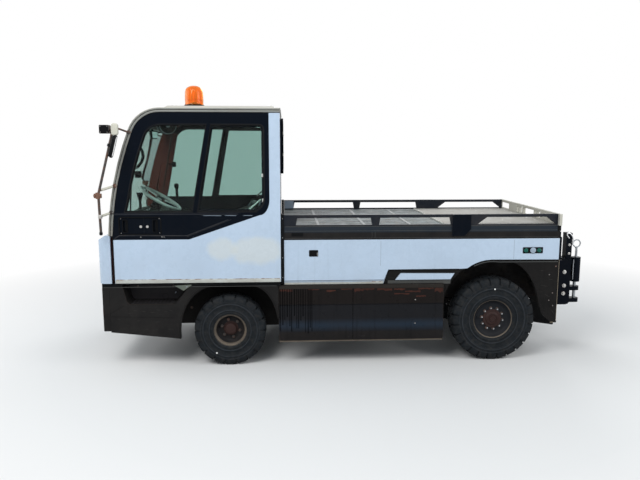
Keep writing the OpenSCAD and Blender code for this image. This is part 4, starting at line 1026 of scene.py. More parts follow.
def handle_plate(handle):
    """Recessed plate with two finger grips, the lock and a key barrel."""
    x0, x1, z0, z1 = 1.798, 2.152, 1.205, 1.353
    plate = rounded(x0, z0, x1, z1, 0.014)
    handle.border(inset(plate, -0.006), inset(plate, 0.003), "Y", Y_DOOR - 0.007, Y_DOOR + 0.0022,
                  "black_plastic", 0.0015)
    slots = [(x0 + 0.03, z0 + 0.02), (x1 - 0.066, z0 + 0.02)]
    for sx, sz in slots:
        cup = rounded(sx, sz, sx + 0.036, sz + 0.104, 0.004)
        handle.border(inset(cup, -0.0055), inset(cup, 0.0015), "Y", Y_DOOR - 0.0082, Y_DOOR - 0.0035,
                      "black_plastic", 0.001)
        handle.slab([(sx + 0.004, sz + 0.006), (sx + 0.016, sz + 0.006), (sx + 0.019, sz + 0.052),
                     (sx + 0.016, sz + 0.098), (sx + 0.004, sz + 0.098)], "Y", Y_DOOR - 0.023,
                    Y_DOOR - 0.01, "black_plastic", 0.002)
    handle.box((1.941, Y_DOOR - 0.009, z0 + 0.004), (1.944, Y_DOOR - 0.0066, z1 - 0.004), "seal", 0.0005)
    for x in (1.97, 1.914):
        handle.turned([(-0.002, 0.0125), (0.002, 0.0125), (0.004, 0.0108), (0.0045, 0.006),
                       (0.0035, 0.0045), (0.0035, 0)], (x, Y_DOOR - 0.008, 1.272), LEFT, "zinc", 24)
    for x in (x0 + 0.012, x1 - 0.012):
        for z in (z0 + 0.011, z1 - 0.011):
            handle.stud((x, Y_DOOR - 0.008, z), LEFT, 0.0035, "zinc")


def door_sill_strip(foot):
    """Cream strip along the door's foot with the rust above it."""
    profile = [(Y_DOOR - 0.01, 0.7712), (Y_DOOR + 0.0012, 0.7712), (Y_DOOR + 0.0032, 0.7745),
               (Y_DOOR + 0.0032, 0.7965), (Y_DOOR + 0.0004, 0.8005), (Y_DOOR - 0.01, 0.8005)]
    foot.slab(profile, "X", X_CAB + 0.004, 2.2055, "strip_paint", 0.0012)
    foot.slab([(Y_DOOR - 0.004, 0.8002), (Y_DOOR + 0.0011, 0.8002), (Y_DOOR + 0.0008, 0.8062),
               (Y_DOOR - 0.004, 0.8062)], "X", X_CAB + 0.01, 2.2, "seam_rust", 0.0006)


def door_seals(seals):
    """Bulb seal and stop along the door's front edge."""
    seals.rod([(2.2155, Y_DOOR - 0.018, 0.78), (2.2155, Y_DOOR - 0.018, 1.15),
               (2.2145, Y_DOOR - 0.018, 1.205)], 0.01, "seal", section=circle(0.009, 14, 0.01), up=LEFT)
    seals.box((2.204, Y_DOOR - 0.034, 0.778), (2.213, Y_DOOR - 0.004, 1.158), "seal", 0.002)


def door_lining(inside):
    """Thin lining, a pressed frame and clips on the door's inner face."""
    y0 = Y_DOOR - 0.0385
    panel = chamfer([(0.885, 0.82), (2.14, 0.82), (2.14, 1.13), (1.55, 1.13), (1.16, 1.3), (0.885, 1.3)],
                    0.04)
    inside.slab(panel, "Y", y0 - 0.0006, y0 + 0.0015, "liner", 0.0008)
    inside.border(rounded(1.1, 0.9, 1.95, 1.02, 0.03), rounded(1.106, 0.906, 1.944, 1.014, 0.025), "Y",
                  y0 - 0.0014, y0, "dash_plastic", 0.0004)
    for x in (0.92, 1.4, 2.1):
        for z in (0.85, 1.1):
            inside.turned([(0, 0.0075), (0.0007, 0.0068), (0.0012, 0.004), (0.0012, 0)],
                          (x, y0 - 0.0004, z), RIGHT, "black_plastic", 16)


DOOR_PIECES = (window_gaskets, pane_frames, belt_panel, handle_plate, door_sill_strip, door_seals,
               door_lining)


def make_doors():
    """All pieces of both doors, each riding on its door."""
    for name, side in (("left", 1), ("right", -1)):
        for draw in DOOR_PIECES:
            form = Form(draw.__name__ + "_" + name, "door_" + name, mirrored(side))
            draw(form)
            form.done()


# Roof and beacon
# The roof's raised middle: how high, how wide to each side, and where the slope beside it ends
CROWN, CROWN_Y, SLOPE_Y = 0.04, 0.3645, 0.648


def cab_band(d0, d1):
    """Strip of the cab's side outline between two depths, down to the screen's foot."""
    outer = cab_line(d0) + [(X_CAB + 0.002, ROOF_Z - d0)]
    inner = cab_line(d1) + [(X_CAB + 0.002, ROOF_Z - d1)]
    return outer + list(reversed(inner))


def roof_gutters(form):
    """Two drip edges and two seals along the roof's side."""
    form.slab(cab_band(0.0055, 0.0125), "Y", Y_DOOR - 0.004, Y_DOOR + 0.0035, "gutter_paint", 0.0016)
    form.slab(cab_band(0.0235, 0.0345), "Y", Y_DOOR - 0.004, Y_DOOR + 0.005, "gutter_paint", 0.002)
    form.slab(cab_band(0.015, 0.0215), "Y", Y_DOOR - 0.004, Y_DOOR + 0.0006, "seal", 0.0006)
    form.slab(cab_band(0.0355, 0.041), "Y", Y_DOOR - 0.01, Y_DOOR - 0.0015, "seal", 0.001)


def make_roof():
    """Gutters, seals and ribs of the roof."""
    trim = both(roof_gutters)
    trim.slab(rect(-Y_DOOR + 0.03, ROOF_Z + 0.002, Y_DOOR - 0.03, ROOF_Z - 0.03), "X", X_CAB - 0.0055,
              X_CAB + 0.004, "gutter_paint", 0.002)
    for i in range(9):
        y = -0.68 + i * 0.17
        trim.stud((X_CAB - 0.005, y, ROOF_Z - 0.014), BACK, 0.006, "gutter_paint")
    trim.done()

    ribs = Form("roof_ribs")
    top = ROOF_Z + CROWN
    for y in (-0.26, 0.26):
        ribs.slab([(0.86, top - 0.004), (0.9, top + 0.004), (1.66, top + 0.004), (1.71, top - 0.004)], "Y",
                  y - 0.022, y + 0.022, "cream_paint", 0.0035)
    for x in (0.84, 1.7):
        for y in (-0.6, -0.4, 0.4, 0.6):
            z = ROOF_Z + (CROWN - max(0, abs(y) - CROWN_Y) / (SLOPE_Y - CROWN_Y) * 0.016)
            ribs.stud((x, y, z - 0.0003), UP, 0.006, "zinc")
    ribs.done()


FLUTES = 24


def make_beacon():
    """Amber beacon: clear fluted dome over a reflector with its bulb, on a rubber foot."""
    form = Form("beacon_dressed")
    x, z = X_FRONT + 0.372, ROOF_Z + CROWN
    form.turned([(-0.001, 0.117), (0.006, 0.118), (0.01, 0.112), (0.014, 0.1), (0.024, 0.096),
                 (0.03, 0.09)], (x, 0, z), UP, "black_plastic", 48)
    n = 96
    dome = [(0.031, 0.0895, 0.0), (0.037, 0.0895, 0.0), (0.041, 0.0875, 0.0008), (0.11, 0.0868, 0.001),
            (0.15, 0.085, 0.001), (0.172, 0.08, 0.0008), (0.188, 0.07, 0.0), (0.2, 0.054, 0.0),
            (0.208, 0.033, 0.0), (0.2115, 0.008, 0.0)]

    def ring(h, r, flute):
        swell = [r + flute * cos(a * FLUTES) for a in (tau * k / n for k in range(n))]
        return [(x + q * cos(tau * k / n), q * sin(tau * k / n), z + h) for k, q in enumerate(swell)]

    inner = [(h - (0.003 if h > 0.17 else 0.0), max(0.004, r - 0.004), 0.0) for h, r, _ in reversed(dome)]
    form.loft([ring(*p) for p in dome] + [ring(*p) for p in inner], "orange_lens", closed=True)
    form.ring(rect(0.072, 0.0892, 0.079, 0.0862), (x, 0, z), UP, "orange_lens", 72, 0.001)
    form.turned([(0.03, 0.06), (0.04, 0.06), (0.044, 0.052), (0.046, 0.02), (0.052, 0.018), (0.06, 0)],
                (x, 0, z), UP, "black_plastic", 32)
    half, bowl = 0.046, []
    for i in range(9):
        v = half * sin(radians(-78 + i * 19.5))
        bowl.append((0.03 - 0.03 * (v / half) ** 2, v))
    rings = []
    for h in (0.05, 0.075, 0.105, 0.135, 0.158):
        wide = 1.0 - ((h - 0.104) / 0.075) ** 2 * 0.45
        rings.append([(x - 0.012 + u * wide, v * wide * 1.15, z + h) for u, v in bowl]
                     + [(x - 0.016 + u * wide, v * wide * 1.15, z + h) for u, v in reversed(bowl)])
    form.loft(rings, "yellow_lens")
    form.turned([(0.046, 0.009), (0.08, 0.009), (0.09, 0.014), (0.112, 0.016), (0.124, 0.011), (0.129, 0)],
                (x + 0.012, 0, z), UP, "clear_lens", 20)
    for a in (60, 180, 300):
        form.stud((x + 0.108 * cos(radians(a)), 0.108 * sin(radians(a)), z + 0.0085), UP, 0.005, "zinc")
    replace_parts(form.done(), "beacon")


# Mirrors
MIRROR_FOOT = Vector((X_NOSE - 0.062, Y_DOOR + 0.095, FOOT_Z + 0.366))
MIRROR_TOP = Vector((X_NOSE - 0.205, Y_DOOR + 0.095, FOOT_Z + 0.896))


def mirror_shell(form, up, h, w, reach, yaw):
    """Rounded mirror head with its glass and a bezel, hung behind the tube."""
    lean = atan2(MIRROR_FOOT.x - MIRROR_TOP.x, MIRROR_TOP.z - MIRROR_FOOT.z)
    turned = (Matrix.Translation(MIRROR_FOOT) @ Matrix.Rotation(-lean, 4, "Y")
              @ Matrix.Rotation(radians(yaw), 4, "Z") @ Matrix.Translation((-0.0433, 0, up)))
    keep = form.at
    form.at = keep @ turned

    def face(x, grow, r=0.04):
        outline = rounded(reach - w - grow, -grow, reach + grow, h + grow, r + grow, 7)
        return [(x, p[0], p[1]) for p in outline]

    form.loft([face(0.0, -0.004), face(0.002, 0), face(0.012, 0), face(0.026, -0.008), face(0.0305, -0.022),
               face(0.0318, -0.04, 0.03)], "black_plastic")
    form.loft([face(-0.0012, -0.009), face(0.0012, -0.009)], "mirror", 0.0004)
    form.border([p[1:] for p in face(0, -0.0035)], [p[1:] for p in face(0, -0.0105)], "X", -0.0028, 0.001,
                "black_plastic", 0.0008)
    form.slab(rounded(-0.026, h * 0.42, 0.03, h * 0.58, 0.012), "X", 0.03, 0.044, "black_plastic", 0.003)
    form.ring(rect(h * 0.44, 0.0175, h * 0.56, 0.0112), (0.0433, 0, 0), UP, "black_plastic", 24, 0.0012)
    form.at = keep


def mirror_clamps(f):
    """Clamps, bolts and spacer sleeves of the mirror tubes."""
    at = MIRROR_FOOT + Vector((0.001, 0, -0.01))
    f.turned([(0, 0.0175), (0.003, 0.019), (0.049, 0.019), (0.052, 0.0175)],
             at + Vector((0.004, 0, -0.026)), UP, "rusty_clamp", 20)
    f.box((at.x - 0.028, at.y - 0.009, at.z - 0.02), (at.x + 0.036, at.y + 0.009, at.z + 0.018),
          "rusty_clamp", 0.003)
    f.bolt((at.x - 0.016, at.y + 0.008, at.z), LEFT, 0.0085, "rusty_clamp")
    f.bolt((at.x + 0.027, at.y + 0.008, at.z), LEFT, 0.0085, "rusty_clamp")
    low = Vector((X_NOSE - 0.068, at.y, FOOT_Z + 0.163))
    f.turned([(0, 0.016), (0.002, 0.0175), (0.03, 0.0175), (0.032, 0.016)], low, UP, "zinc", 20)
    f.bolt(low + Vector((0.0, 0.017, 0.016)), LEFT, 0.007, "zinc")
    f.turned([(0, 0.0125), (0.004, 0.0145), (0.018, 0.0145), (0.026, 0.011), (0.028, 0)],
             Vector((X_NOSE - 0.068, at.y, FOOT_Z + 0.046)), DOWN, "seal", 18)
    reach, flange = (0.398, 0.433) if f.at[1][1] > 0 else (0.33, 0.29)
    for up, end, ex in ((0.203, 0.179, MIRROR_FOOT.x - 0.004), (flange, reach, MIRROR_FOOT.x - 0.009)):
        sz = FOOT_Z + up
        sx = SCREEN_C[0] + sqrt((SCREEN_R - ROOF_EDGE / 2) ** 2 - (sz - SCREEN_C[1]) ** 2)
        s, e = Vector((sx, Y_DOOR + 0.012, sz)), Vector((ex, MIRROR_FOOT.y, FOOT_Z + end))
        d = (e - s).normalized()
        long = (e - s).length - 0.034
        f.turned([(0, 0.0092), (0.002, 0.0112), (long - 0.002, 0.0112), (long, 0.0092)], s + d * 0.018, d,
                 "shell_paint", 16)
        for k in (-1, 1):
            f.stud((sx + k * 0.0115, Y_DOOR + 0.0088, sz), LEFT, 0.0036, "zinc")


def mirror_top_lids(f):
    """Lid of the small box at the tube's top."""
    x, z = MIRROR_TOP.x, MIRROR_TOP.z
    f.slab(rounded(x + 0.026, z - 0.021, x + 0.098, z + 0.044, 0.007), "Y", 0.9398, 0.9428, "black_plastic",
           0.0012)
    f.border(rounded(x + 0.024, z - 0.023, x + 0.1, z + 0.046, 0.008),
             rounded(x + 0.029, z - 0.018, x + 0.095, z + 0.041, 0.006), "Y", 0.9395, 0.9412, "seal",
             0.0006)
    for dx, dz in ((0.034, -0.013), (0.09, -0.013), (0.034, 0.036), (0.09, 0.036)):
        f.stud((x + dx, 0.9426, z + dz), LEFT, 0.0032, "zinc")
    f.turned([(0, 0.0095), (0.003, 0.0115), (0.012, 0.0115), (0.015, 0.0095)], (x + 0.03, 0.905, z),
             (0.98, 0, 0.15), "black_plastic", 16)


def make_mirrors():
    """Mirror heads with the small box at the right tube's top, clamps and lids."""
    form = Form("mirror_shells", at=mirrored(-1))
    mirror_shell(form, 0.014, 0.52, 0.23, 0.105, 25)
    form.at = Matrix()
    mirror_shell(form, 0.33, 0.19, 0.135, 0.088, 9)
    x0, x1, z0, z1 = MIRROR_TOP.x - 0.054, MIRROR_TOP.x + 0.006, MIRROR_TOP.z - 0.041, MIRROR_TOP.z + 0.061

    def face(y, grow):
        outline = rounded(x0 - grow, z0 - grow, x1 + grow, z1 + grow, 0.024 + grow, 7)
        return [(p[0], y, p[1]) for p in outline]

    form.loft([face(0.9185, -0.01), face(0.9195, -0.003), face(0.924, -0.0005), face(0.934, -0.0005),
               face(0.94, -0.004), face(0.9432, -0.013)], "shell_paint")
    form.loft([face(0.9176, -0.008), face(0.9188, -0.008)], "mirror", 0.0003)
    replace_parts(form.done(), "mirror_heads")
    both(mirror_clamps).done()
    both(mirror_top_lids).done()


# Platform
def outline_rod(form, path, section, y, coat):
    """Strip of a given (in plane, outwards) section that follows a line in X and Z."""
    form.rod([(p[0], y, p[1]) for p in path], 0, coat, up=LEFT, section=section, soft=0.0008)


def strip_section(wide, deep, proud):
    """Section of a strip that lies deep in a panel and stands proud of it."""
    return rect(-wide / 2, -deep, wide / 2, proud)


def platform_side_trim(f):
    """Bands, welds and seams of the white side panel."""
    y = Y_BED
    f.slab([(X_BED - 0.002, 0.753), (-0.166, 0.753), (-0.174, 0.769), (X_BED - 0.002, 0.769)], "Y",
           y - 0.003, y + 0.0012, "band_paint", 0.0005)
    f.slab([(X_BED - 0.002, 0.7365), (-0.158, 0.7365), (-0.166, 0.7535), (X_BED - 0.002, 0.7535)], "Y",
           y - 0.003, y + 0.0018, "strip_paint", 0.0006)
    f.slab([(-0.055, 0.752), (-0.15, 0.753), (-0.158, 0.761), (-0.11, 0.76), (-0.06, 0.759)], "Y", y,
           y + 0.002, "seam_rust", 0.0004)
    outline_rod(f, [(X_BED - 0.004, 0.7705), (-0.172, 0.7705), (-0.2075, 0.8635), (-0.855, 0.865)],
                strip_section(0.003, 0.002, 0.0012), y, "frame_paint")
    for x, low, top in ((-0.136, 0.9, 1.128), (-1.355, 0.95, 1.13)):
        f.box((x - 0.0013, y - 0.001, low), (x + 0.0013, y + 0.0004, top), "seam_dark", 0.0002)
    # Grey strip along the foot of the small lower panel: a painted highlight on its flange
    f.slab([(-0.205, 0.727), (-0.205, 0.762), (-0.781, 0.762), (-0.781, 0.727)], "Y", Y_ARCH - 0.002,
           Y_ARCH + 0.004, "flange_paint", 0.001)
    for x in (0.7, 0.45, 0.16, -0.1):
        f.stud((x, y + 0.0016, 0.745), LEFT, 0.0036, "zinc")
    outline_rod(f, [(-0.2745, 0.7695), (-0.3195, 0.8285), (-0.812, 0.824), (-0.778, 0.7695),
                    (-0.2745, 0.7695)], strip_section(0.0035, 0.003, 0.0008), y, "seam_dark")


def platform_latches(f):
    """Flush latch in the side panel."""
    y = Y_BED
    plate = rounded(0.427, 0.989, 0.509, 1.048, 0.008)
    f.border(plate, inset(plate, 0.007), "Y", y - 0.004, y + 0.0018, "black_plastic", 0.0008)
    f.slab(inset(plate, 0.006), "Y", y - 0.004, y + 0.0004, "black_plastic", 0.0005)
    f.slab([(0.44, 1.0), (0.492, 1.0), (0.496, 1.036), (0.44, 1.036)], "Y", y, y + 0.0014, "black_plastic",
           0.0006)
    f.box((0.4305, y, 0.996), (0.4365, y + 0.0018, 1.026), "zinc", 0.0006)


def side_markers(f):
    """Plate with two green lamps and a pale one between them."""
    y, z = Y_BED, 1.031
    plate = rounded(-1.622, 1.003, -1.436, 1.059, 0.005)
    f.slab(plate, "Y", y - 0.001, y + 0.0035, "black_plastic", 0.0012)
    for x, r, coat in ((-1.586, 0.0195, "green_lens"), (-1.529, 0.0265, "band_paint"),
                       (-1.464, 0.0195, "green_lens")):
        f.turned([(0, r + 0.003), (0.0025, r + 0.003), (0.0032, r + 0.0012)], (x, y + 0.003, z), LEFT,
                 "black_plastic", 32)
        f.turned([(0, r), (0.004, r), (0.0062, r * 0.8), (0.007, r * 0.4), (0.0072, 0)], (x, y + 0.003, z),
                 LEFT, coat, 32)
    for x in (-1.612, -1.446):
        f.stud((x, y + 0.0033, z), LEFT, 0.0032, "zinc")


def platform_edge_trim(f):
    """Highlight lines painted on the channel's creases; post plate, end cap, corner panel and the seal
    behind the cab.
    """
    y = Y_BED - 0.003
    # Light lines along the channel's creases and two short uprights: painted highlights
    for z, wide in ((1.256, 0.004), (1.217, 0.0026), (1.1525, 0.0022)):
        f.slab(rect(X_BED - 0.006, z, X_BOARD + 0.022, z + wide), "Y", y - 0.001, y + 0.0011,
               "flange_paint", 0.0004)
    f.box((-0.084, y - 0.001, 1.155), (-0.0815, y + 0.0012, 1.209), "flange_paint", 0.0004)
    f.box((-0.056, y - 0.001, 1.155), (-0.054, y + 0.0012, 1.209), "flange_paint", 0.0004)
    f.box((0.56, y - 0.001, 1.17), (0.665, y + 0.0016, 1.203), "black_plastic", 0.002)
    # Post plate and its bolts
    plate = [(X_MARK + 0.233, BOARD_TOP - 0.003), (X_MARK + 0.401, BOARD_TOP - 0.003),
             (X_MARK + 0.401, SIDE_TOP + 0.029), (X_MARK + 0.288, SIDE_TOP + 0.029),
             (X_MARK + 0.233, SIDE_TOP + 0.09)]
    f.slab(plate, "Y", y + 0.0085, y + 0.0098, "frame_paint", 0.0005)
    for x in (X_MARK + 0.262, X_MARK + 0.372):
        for z in (1.335, 1.205):
            if x > X_MARK + 0.3 or z > 1.3:
                f.bolt((x, y + 0.0096, z), LEFT, 0.0062, "frame_paint", False)
    # Rounded end of the channel and the board's rear end
    cap = chamfer(rect(X_BOARD - 0.008, 1.203, X_BOARD + 0.026, 1.2615), 0.012)
    f.slab(cap, "Y", Y_BED - 0.07, Y_BED - 0.0005, "black_plastic", 0.003)
    f.slab(rect(X_BOARD - 0.0095, 0.94, X_BOARD - 0.0005, 1.2), "Y", Y_BED - 0.068, Y_BED - 0.001,
           "frame_paint", 0.0015)
    # Panel in the front corner, seen on the inside of the board
    f.slab(rect(X_BED - 0.006, SIDE_TOP + 0.13, 0.624, BOARD_TOP - 0.006), "Y", Y_BED - 0.0315,
           Y_BED - 0.0278, "band_paint", 0.001)
    # Seal that closes the gap behind the cab
    f.slab(rect(X_BED + 0.0015, 0.742, X_CAB - 0.0035, 1.368), "Y", Y_BED - 0.075, Y_BED - 0.0015, "seal",
           0.003)
    for z in (0.8, 0.98, 1.16, 1.33):
        f.stud((X_BED + 0.014, Y_BED - 0.0017, z), LEFT, 0.0035, "zinc")


def deck_trim():
    """Angles, screws and joint strips of the load floor."""
    deck = Form("deck_trim")
    half = 0.69
    for y in (-half, half):
        deck.slab(rect(X_BED - 0.004, DECK_Z - 0.006, X_MARK + 0.452, DECK_Z + 0.0015), "Y", y - 0.014,
                  y + 0.014, "deck_sheet", 0.002)
    deck.slab(rect(-half, DECK_Z + 0.0005, half, DECK_Z + 0.0125), "X", X_MARK + 0.4495, X_MARK + 0.4535,
              "edge_bright", 0.0008)
    for i in range(7):
        for j in range(4):
            deck.stud((X_BOARD + 0.1 + j * 0.32, -0.63 + i * 0.21, DECK_Z + 0.0099), UP, 0.006, "zinc")
    for x in (0.42, 0.0, -0.42):
        deck.slab(rect(-0.675, DECK_Z + 0.0002, 0.675, DECK_Z + 0.003), "X", x - 0.012, x + 0.012,
                  "deck_sheet", 0.001)
    deck.done()


def platform_rear_trim():
    """Bolts of the tail, with painted highlights along its flanges and pressed frames."""
    back = Form("platform_rear_trim")
    for side in (-1, 1):
        back.at = mirrored(side)
        for z in (0.47, 0.7, 1.05):
            for y in (0.06, 0.3, 0.66):
                back.bolt((X_TAIL + 0.0005, y, z), BACK, 0.008, "dark_steel")
        # Light grey flange lines and pressed frames: painted highlights along the tail's edges
        back.slab(rect(0.02, 0.452, 0.7, 0.458), "X", X_TAIL - 0.003, X_TAIL + 0.002, "flange_paint", 0.001)
        back.slab(rect(0.02, 1.122, 0.7, 1.128), "X", X_TAIL - 0.003, X_TAIL + 0.002, "flange_paint", 0.001)
        for y, w in ((0.18, 0.15), (0.56, 0.12)):
            back.border(rounded(y - w / 2, 0.94, y + w / 2, 1.09, 0.012),
                        rounded(y - w / 2 + 0.006, 0.946, y + w / 2 - 0.006, 1.084, 0.008), "X",
                        X_TAIL - 0.0025, X_TAIL + 0.002, "flange_paint", 0.0008)
    back.at = Matrix()
    back.done()


def make_platform():
    """Trim of the platform's white sides, its channels, boards and edges."""
    for draw in (platform_side_trim, platform_latches, side_markers, platform_edge_trim):
        both(draw).done()
    deck_trim()
    platform_rear_trim()


# Skirts, arches and sills
DICE = random.Random()
SILL_LINE = ((0.704, 0.79), (0.556, 0.79), (0.546, 0.781), (0.444, 0.792), (0.33, 0.806), (0.25, 0.806),
             (0.212, 0.794))


def front_arch_line():
    """The front arch's edge, from the skirt's foot to the spandrel's, in X and Z."""
    w, top = 0.87, SKIRT_TOP
    line = [(X_FRONT + w / 2, 0.262)] + oval((X_FRONT + w / 2 - 0.31, top - 0.4), 0.31, 0.4, 0, 90, 14)
    line += oval((X_FRONT - w / 2 + 0.24, top - 0.4), 0.24, 0.4, 90, 166, 12)
    return [p for i, p in enumerate(line) if i == 0 or dist(p, line[i - 1]) > 1e-4]


def rear_arch_line():
    """The rear arch's edge, from the sill to the tail."""
    line = [(X_MARK + 0.465, 0.22)] + oval((X_MARK + 0.065, 0.505), 0.4, 0.42, 0, 90, 14)
    line += oval((X_MARK - 0.12, 0.365), 0.33, 0.56, 90, 163, 16)
    line += oval((X_TAIL - 0.015, 0.56), 0.18, 0.215, -20, -86, 7)
    return [p for i, p in enumerate(line) if i == 0 or dist(p, line[i - 1]) > 1e-4]


def arch_lips(f):
    """Turned edges of the arches with rivets and scrapes."""
    outline_rod(f, front_arch_line(), rect(-0.0165, -0.026, -0.0135, 0.001), Y_SKIRT, "arch_paint")
    outline_rod(f, front_arch_line(), rect(-0.016, -0.002, 0.0005, 0.002), Y_SKIRT, "arch_paint")
    outline_rod(f, rear_arch_line(), rect(-0.0175, -0.03, -0.0145, 0.001), Y_ARCH, "arch_paint")
    outline_rod(f, rear_arch_line(), rect(-0.017, -0.002, 0.0005, 0.0024), Y_ARCH, "arch_paint")
    # Grey strip along the top of the rear arch: a painted highlight on its flange
    top = [(X_BOARD + 0.002, 0.921), (X_MARK - 0.045, 0.923)]
    top += arc((X_MARK + 0.02, 0.575), 0.352, 95, 62, 8)
    outline_rod(f, top, strip_section(0.007, 0.002, 0.0032), Y_ARCH, "flange_paint")
    f.slab(rect(X_TAIL - 0.0022, 0.352, X_TAIL + 0.0008, 0.945), "Y", Y_ARCH - 0.02, Y_ARCH + 0.0015,
           "edge_paint", 0.0006)
    f.slab(rect(X_TAIL + 0.002, 0.346, X_TAIL + 0.055, 0.352), "Y", Y_ARCH - 0.002, Y_ARCH + 0.0015,
           "edge_paint", 0.0006)
    for x, z in ((-1.739, 0.627), (-1.709, 0.558), (-1.748, 0.507), (-1.758, 0.877), (-1.7, 0.8)):
        f.stud((x, Y_ARCH - 0.0005, z), LEFT, 0.0062, "bare_steel")
    for x0, z0, x1, z1 in ((-1.62, 0.7, -1.7, 0.69), (-1.66, 0.62, -1.72, 0.585),
                           (-1.69, 0.75, -1.74, 0.757), (-1.735, 0.47, -1.765, 0.43),
                           (-1.6, 0.84, -1.66, 0.836)):
        scrape(f, (x0, z0), (x1, z1), Y_ARCH)


def skirt_folds(f):
    """Folds, scrapes, rust and the gusset of the front skirt."""
    y, nose = Y_SKIRT, 2.318
    step = [(2.152, 0.733), (2.119, 0.602), (2.095, 0.578), (1.7, 0.578), (1.619, 0.673), (1.574, 0.733)]
    outline_rod(f, step[:4], strip_section(0.004, 0.003, 0.0016), y, "edge_dark")
    outline_rod(f, step[3:], strip_section(0.005, 0.003, 0.0008), y, "arch_paint")
    # Light line along the skirt's top edge: a painted highlight
    f.slab(rect(0.8, 0.7325, X_BUMPER - 0.012, 0.7365), "Y", y - 0.002, y + 0.0022, "flange_paint", 0.0008)
    outline_rod(f, [(nose, 0.478), (2.24, 0.512), (2.147, 0.566)], strip_section(0.007, 0.002, 0.0016), y,
                "arch_paint")
    outline_rod(f, [(nose, 0.47), (1.7, 0.452)], strip_section(0.005, 0.002, 0.0012), y, "arch_paint")
    f.box((X_BUMPER - 0.0035, y - 0.012, 0.342), (X_BUMPER + 0.001, y + 0.0012, 0.728), "edge_dark", 0.0008)
    f.box((X_BUMPER - 0.0045, y - 0.006, 0.485), (X_BUMPER + 0.0014, y + 0.0018, 0.548), "rust_patch",
          0.0005)
    for x, z, long in ((1.975, 0.353, 0.036), (1.88, 0.351, 0.022), (1.772, 0.349, 0.03),
                       (1.737, 0.35, 0.012), (1.68, 0.348, 0.02), (2.05, 0.43, 0.05), (1.9, 0.418, 0.08),
                       (2.12, 0.5, 0.04), (1.93, 0.505, 0.06), (1.8, 0.51, 0.04), (2.21, 0.445, 0.03)):
        scrape(f, (x, z), (x - long, z - 0.002), y)
    for x, z in ((2.07, 0.527), (2.0, 0.52), (1.87, 0.53), (1.76, 0.525)):
        scrape(f, (x, z), (x - 0.045, z - 0.012), y)
    gusset = [(1.699, 0.745), (1.549, 0.7535), (1.551, 0.7465), (1.62, 0.699)]
    f.slab(gusset, "Y", Y_SKIRT + 0.002, Y_SKIRT + 0.005, "gusset_paint", 0.001)
    f.slab([(1.6, 0.729), (1.586, 0.732), (1.583, 0.739), (1.597, 0.737)], "Y", Y_SKIRT + 0.0048,
           Y_SKIRT + 0.0056, "seam_dark", 0.0002)
    outline_rod(f, [(nose, 0.7315), (X_BUMPER - 0.01, 0.6)], strip_section(0.003, 0.001, 0.0006), y,
                "arch_paint")


def step_well_plates(f):
    """Plate, ring, bolts and tread bars in the step well."""
    y = Y_WELL + 0.01
    f.slab([(2.135, 0.728), (2.108, 0.604), (2.088, 0.585), (1.706, 0.585), (1.63, 0.676), (1.59, 0.728)],
           "Y", y - 0.002, y + 0.003, "well_paint", 0.001)
    f.border(rounded(1.786, 0.58, 1.842, 0.636, 0.027, 6), rounded(1.789, 0.583, 1.839, 0.633, 0.024, 6),
             "Y", y + 0.002, y + 0.0042, "arch_paint", 0.0004)
    f.slab([(1.73, 0.632), (1.716, 0.64), (1.714, 0.652), (1.728, 0.645)], "Y", y + 0.002, y + 0.0038,
           "seam_dark", 0.0004)
    for x in (2.06, 1.74):
        f.bolt((x, y + 0.003, 0.705), LEFT, 0.007, "dark_steel")
    for k in range(11):
        x = 1.735 + k * 0.033
        f.slab(rect(x, 0.625, x + 0.014, 0.775), "Z", 0.5775, 0.5815, "well_paint", 0.0012)


def sill_trim(f):
    """Edges, rust patches, oil runs and scrapes of the bent sill."""
    y = Y_SILL
    x0, x1 = X_MARK + 0.465, X_FRONT - 0.437
    # Light strip on the sill's bottom lip: a painted highlight along the lip, with rust in it
    f.slab([(y + 0.003, 0.2115), (y + 0.0048, 0.212), (y + 0.0085, 0.2235), (y + 0.0062, 0.224)], "X",
           x0 + 0.003, x1 - 0.003, "lip_paint", 0.0004)
    f.box((0.109, y - 0.03, 0.214), (0.118, y - 0.016, 0.728), "seal", 0.001)
    f.slab([(y - 0.012, 0.7325), (y - 0.002, 0.7325), (y + 0.0008, 0.706), (y + 0.0008, 0.7),
            (y - 0.004, 0.7), (y - 0.014, 0.724)], "X", x0 + 0.006, x1 - 0.004, "edge_dark", 0.0006)
    for a, b, low, top in ((0.02, 0.104, 0.664, 0.702), (0.27, 0.352, 0.668, 0.69),
                           (-0.24, -0.104, 0.668, 0.7), (-0.36, -0.26, 0.676, 0.697),
                           (0.66, 0.775, 0.674, 0.7), (-0.08, 0.02, 0.678, 0.701),
                           (-0.5, -0.36, 0.655, 0.676), (-0.62, -0.48, 0.68, 0.7),
                           (-0.705, -0.63, 0.65, 0.699), (-0.4, -0.26, 0.636, 0.652),
                           (0.42, 0.52, 0.686, 0.699), (0.12, 0.22, 0.686, 0.7),
                           (-0.55, -0.46, 0.612, 0.63)):
        ragged(f, a, b, low, top, y)
    for k in range(15):
        x = 0.772 - k * 0.0205 - DICE.random() * 0.008
        low = 0.29 + DICE.random() * 0.2
        drip(f, x, 0.7, low, DICE.random() * 0.0016 + 0.002)
    for x, z in ((-0.454, 0.59), (-0.454, 0.372)):
        f.stud((x, sill_y(z), z), LEFT, 0.0055, "zinc")
    for x, z, long in ((0.05, 0.262, 0.045), (0.02, 0.266, 0.02), (0.16, 0.258, 0.02),
                       (-0.31, 0.262, 0.01)):
        scrape(f, (x, z), (x - long, z - 0.003), sill_y(z))
    for x in (x0 + 0.0015, x1 - 0.0015):
        points = [(sill_y(z) + 0.0008, z) for z in (0.7, 0.556, 0.546, 0.444, 0.33, 0.25, 0.214)]
        f.slab(points + [(p[0] - 0.003, p[1]) for p in reversed(points)], "X", x - 0.0015, x + 0.0015,
               "edge_dark", 0.0003)


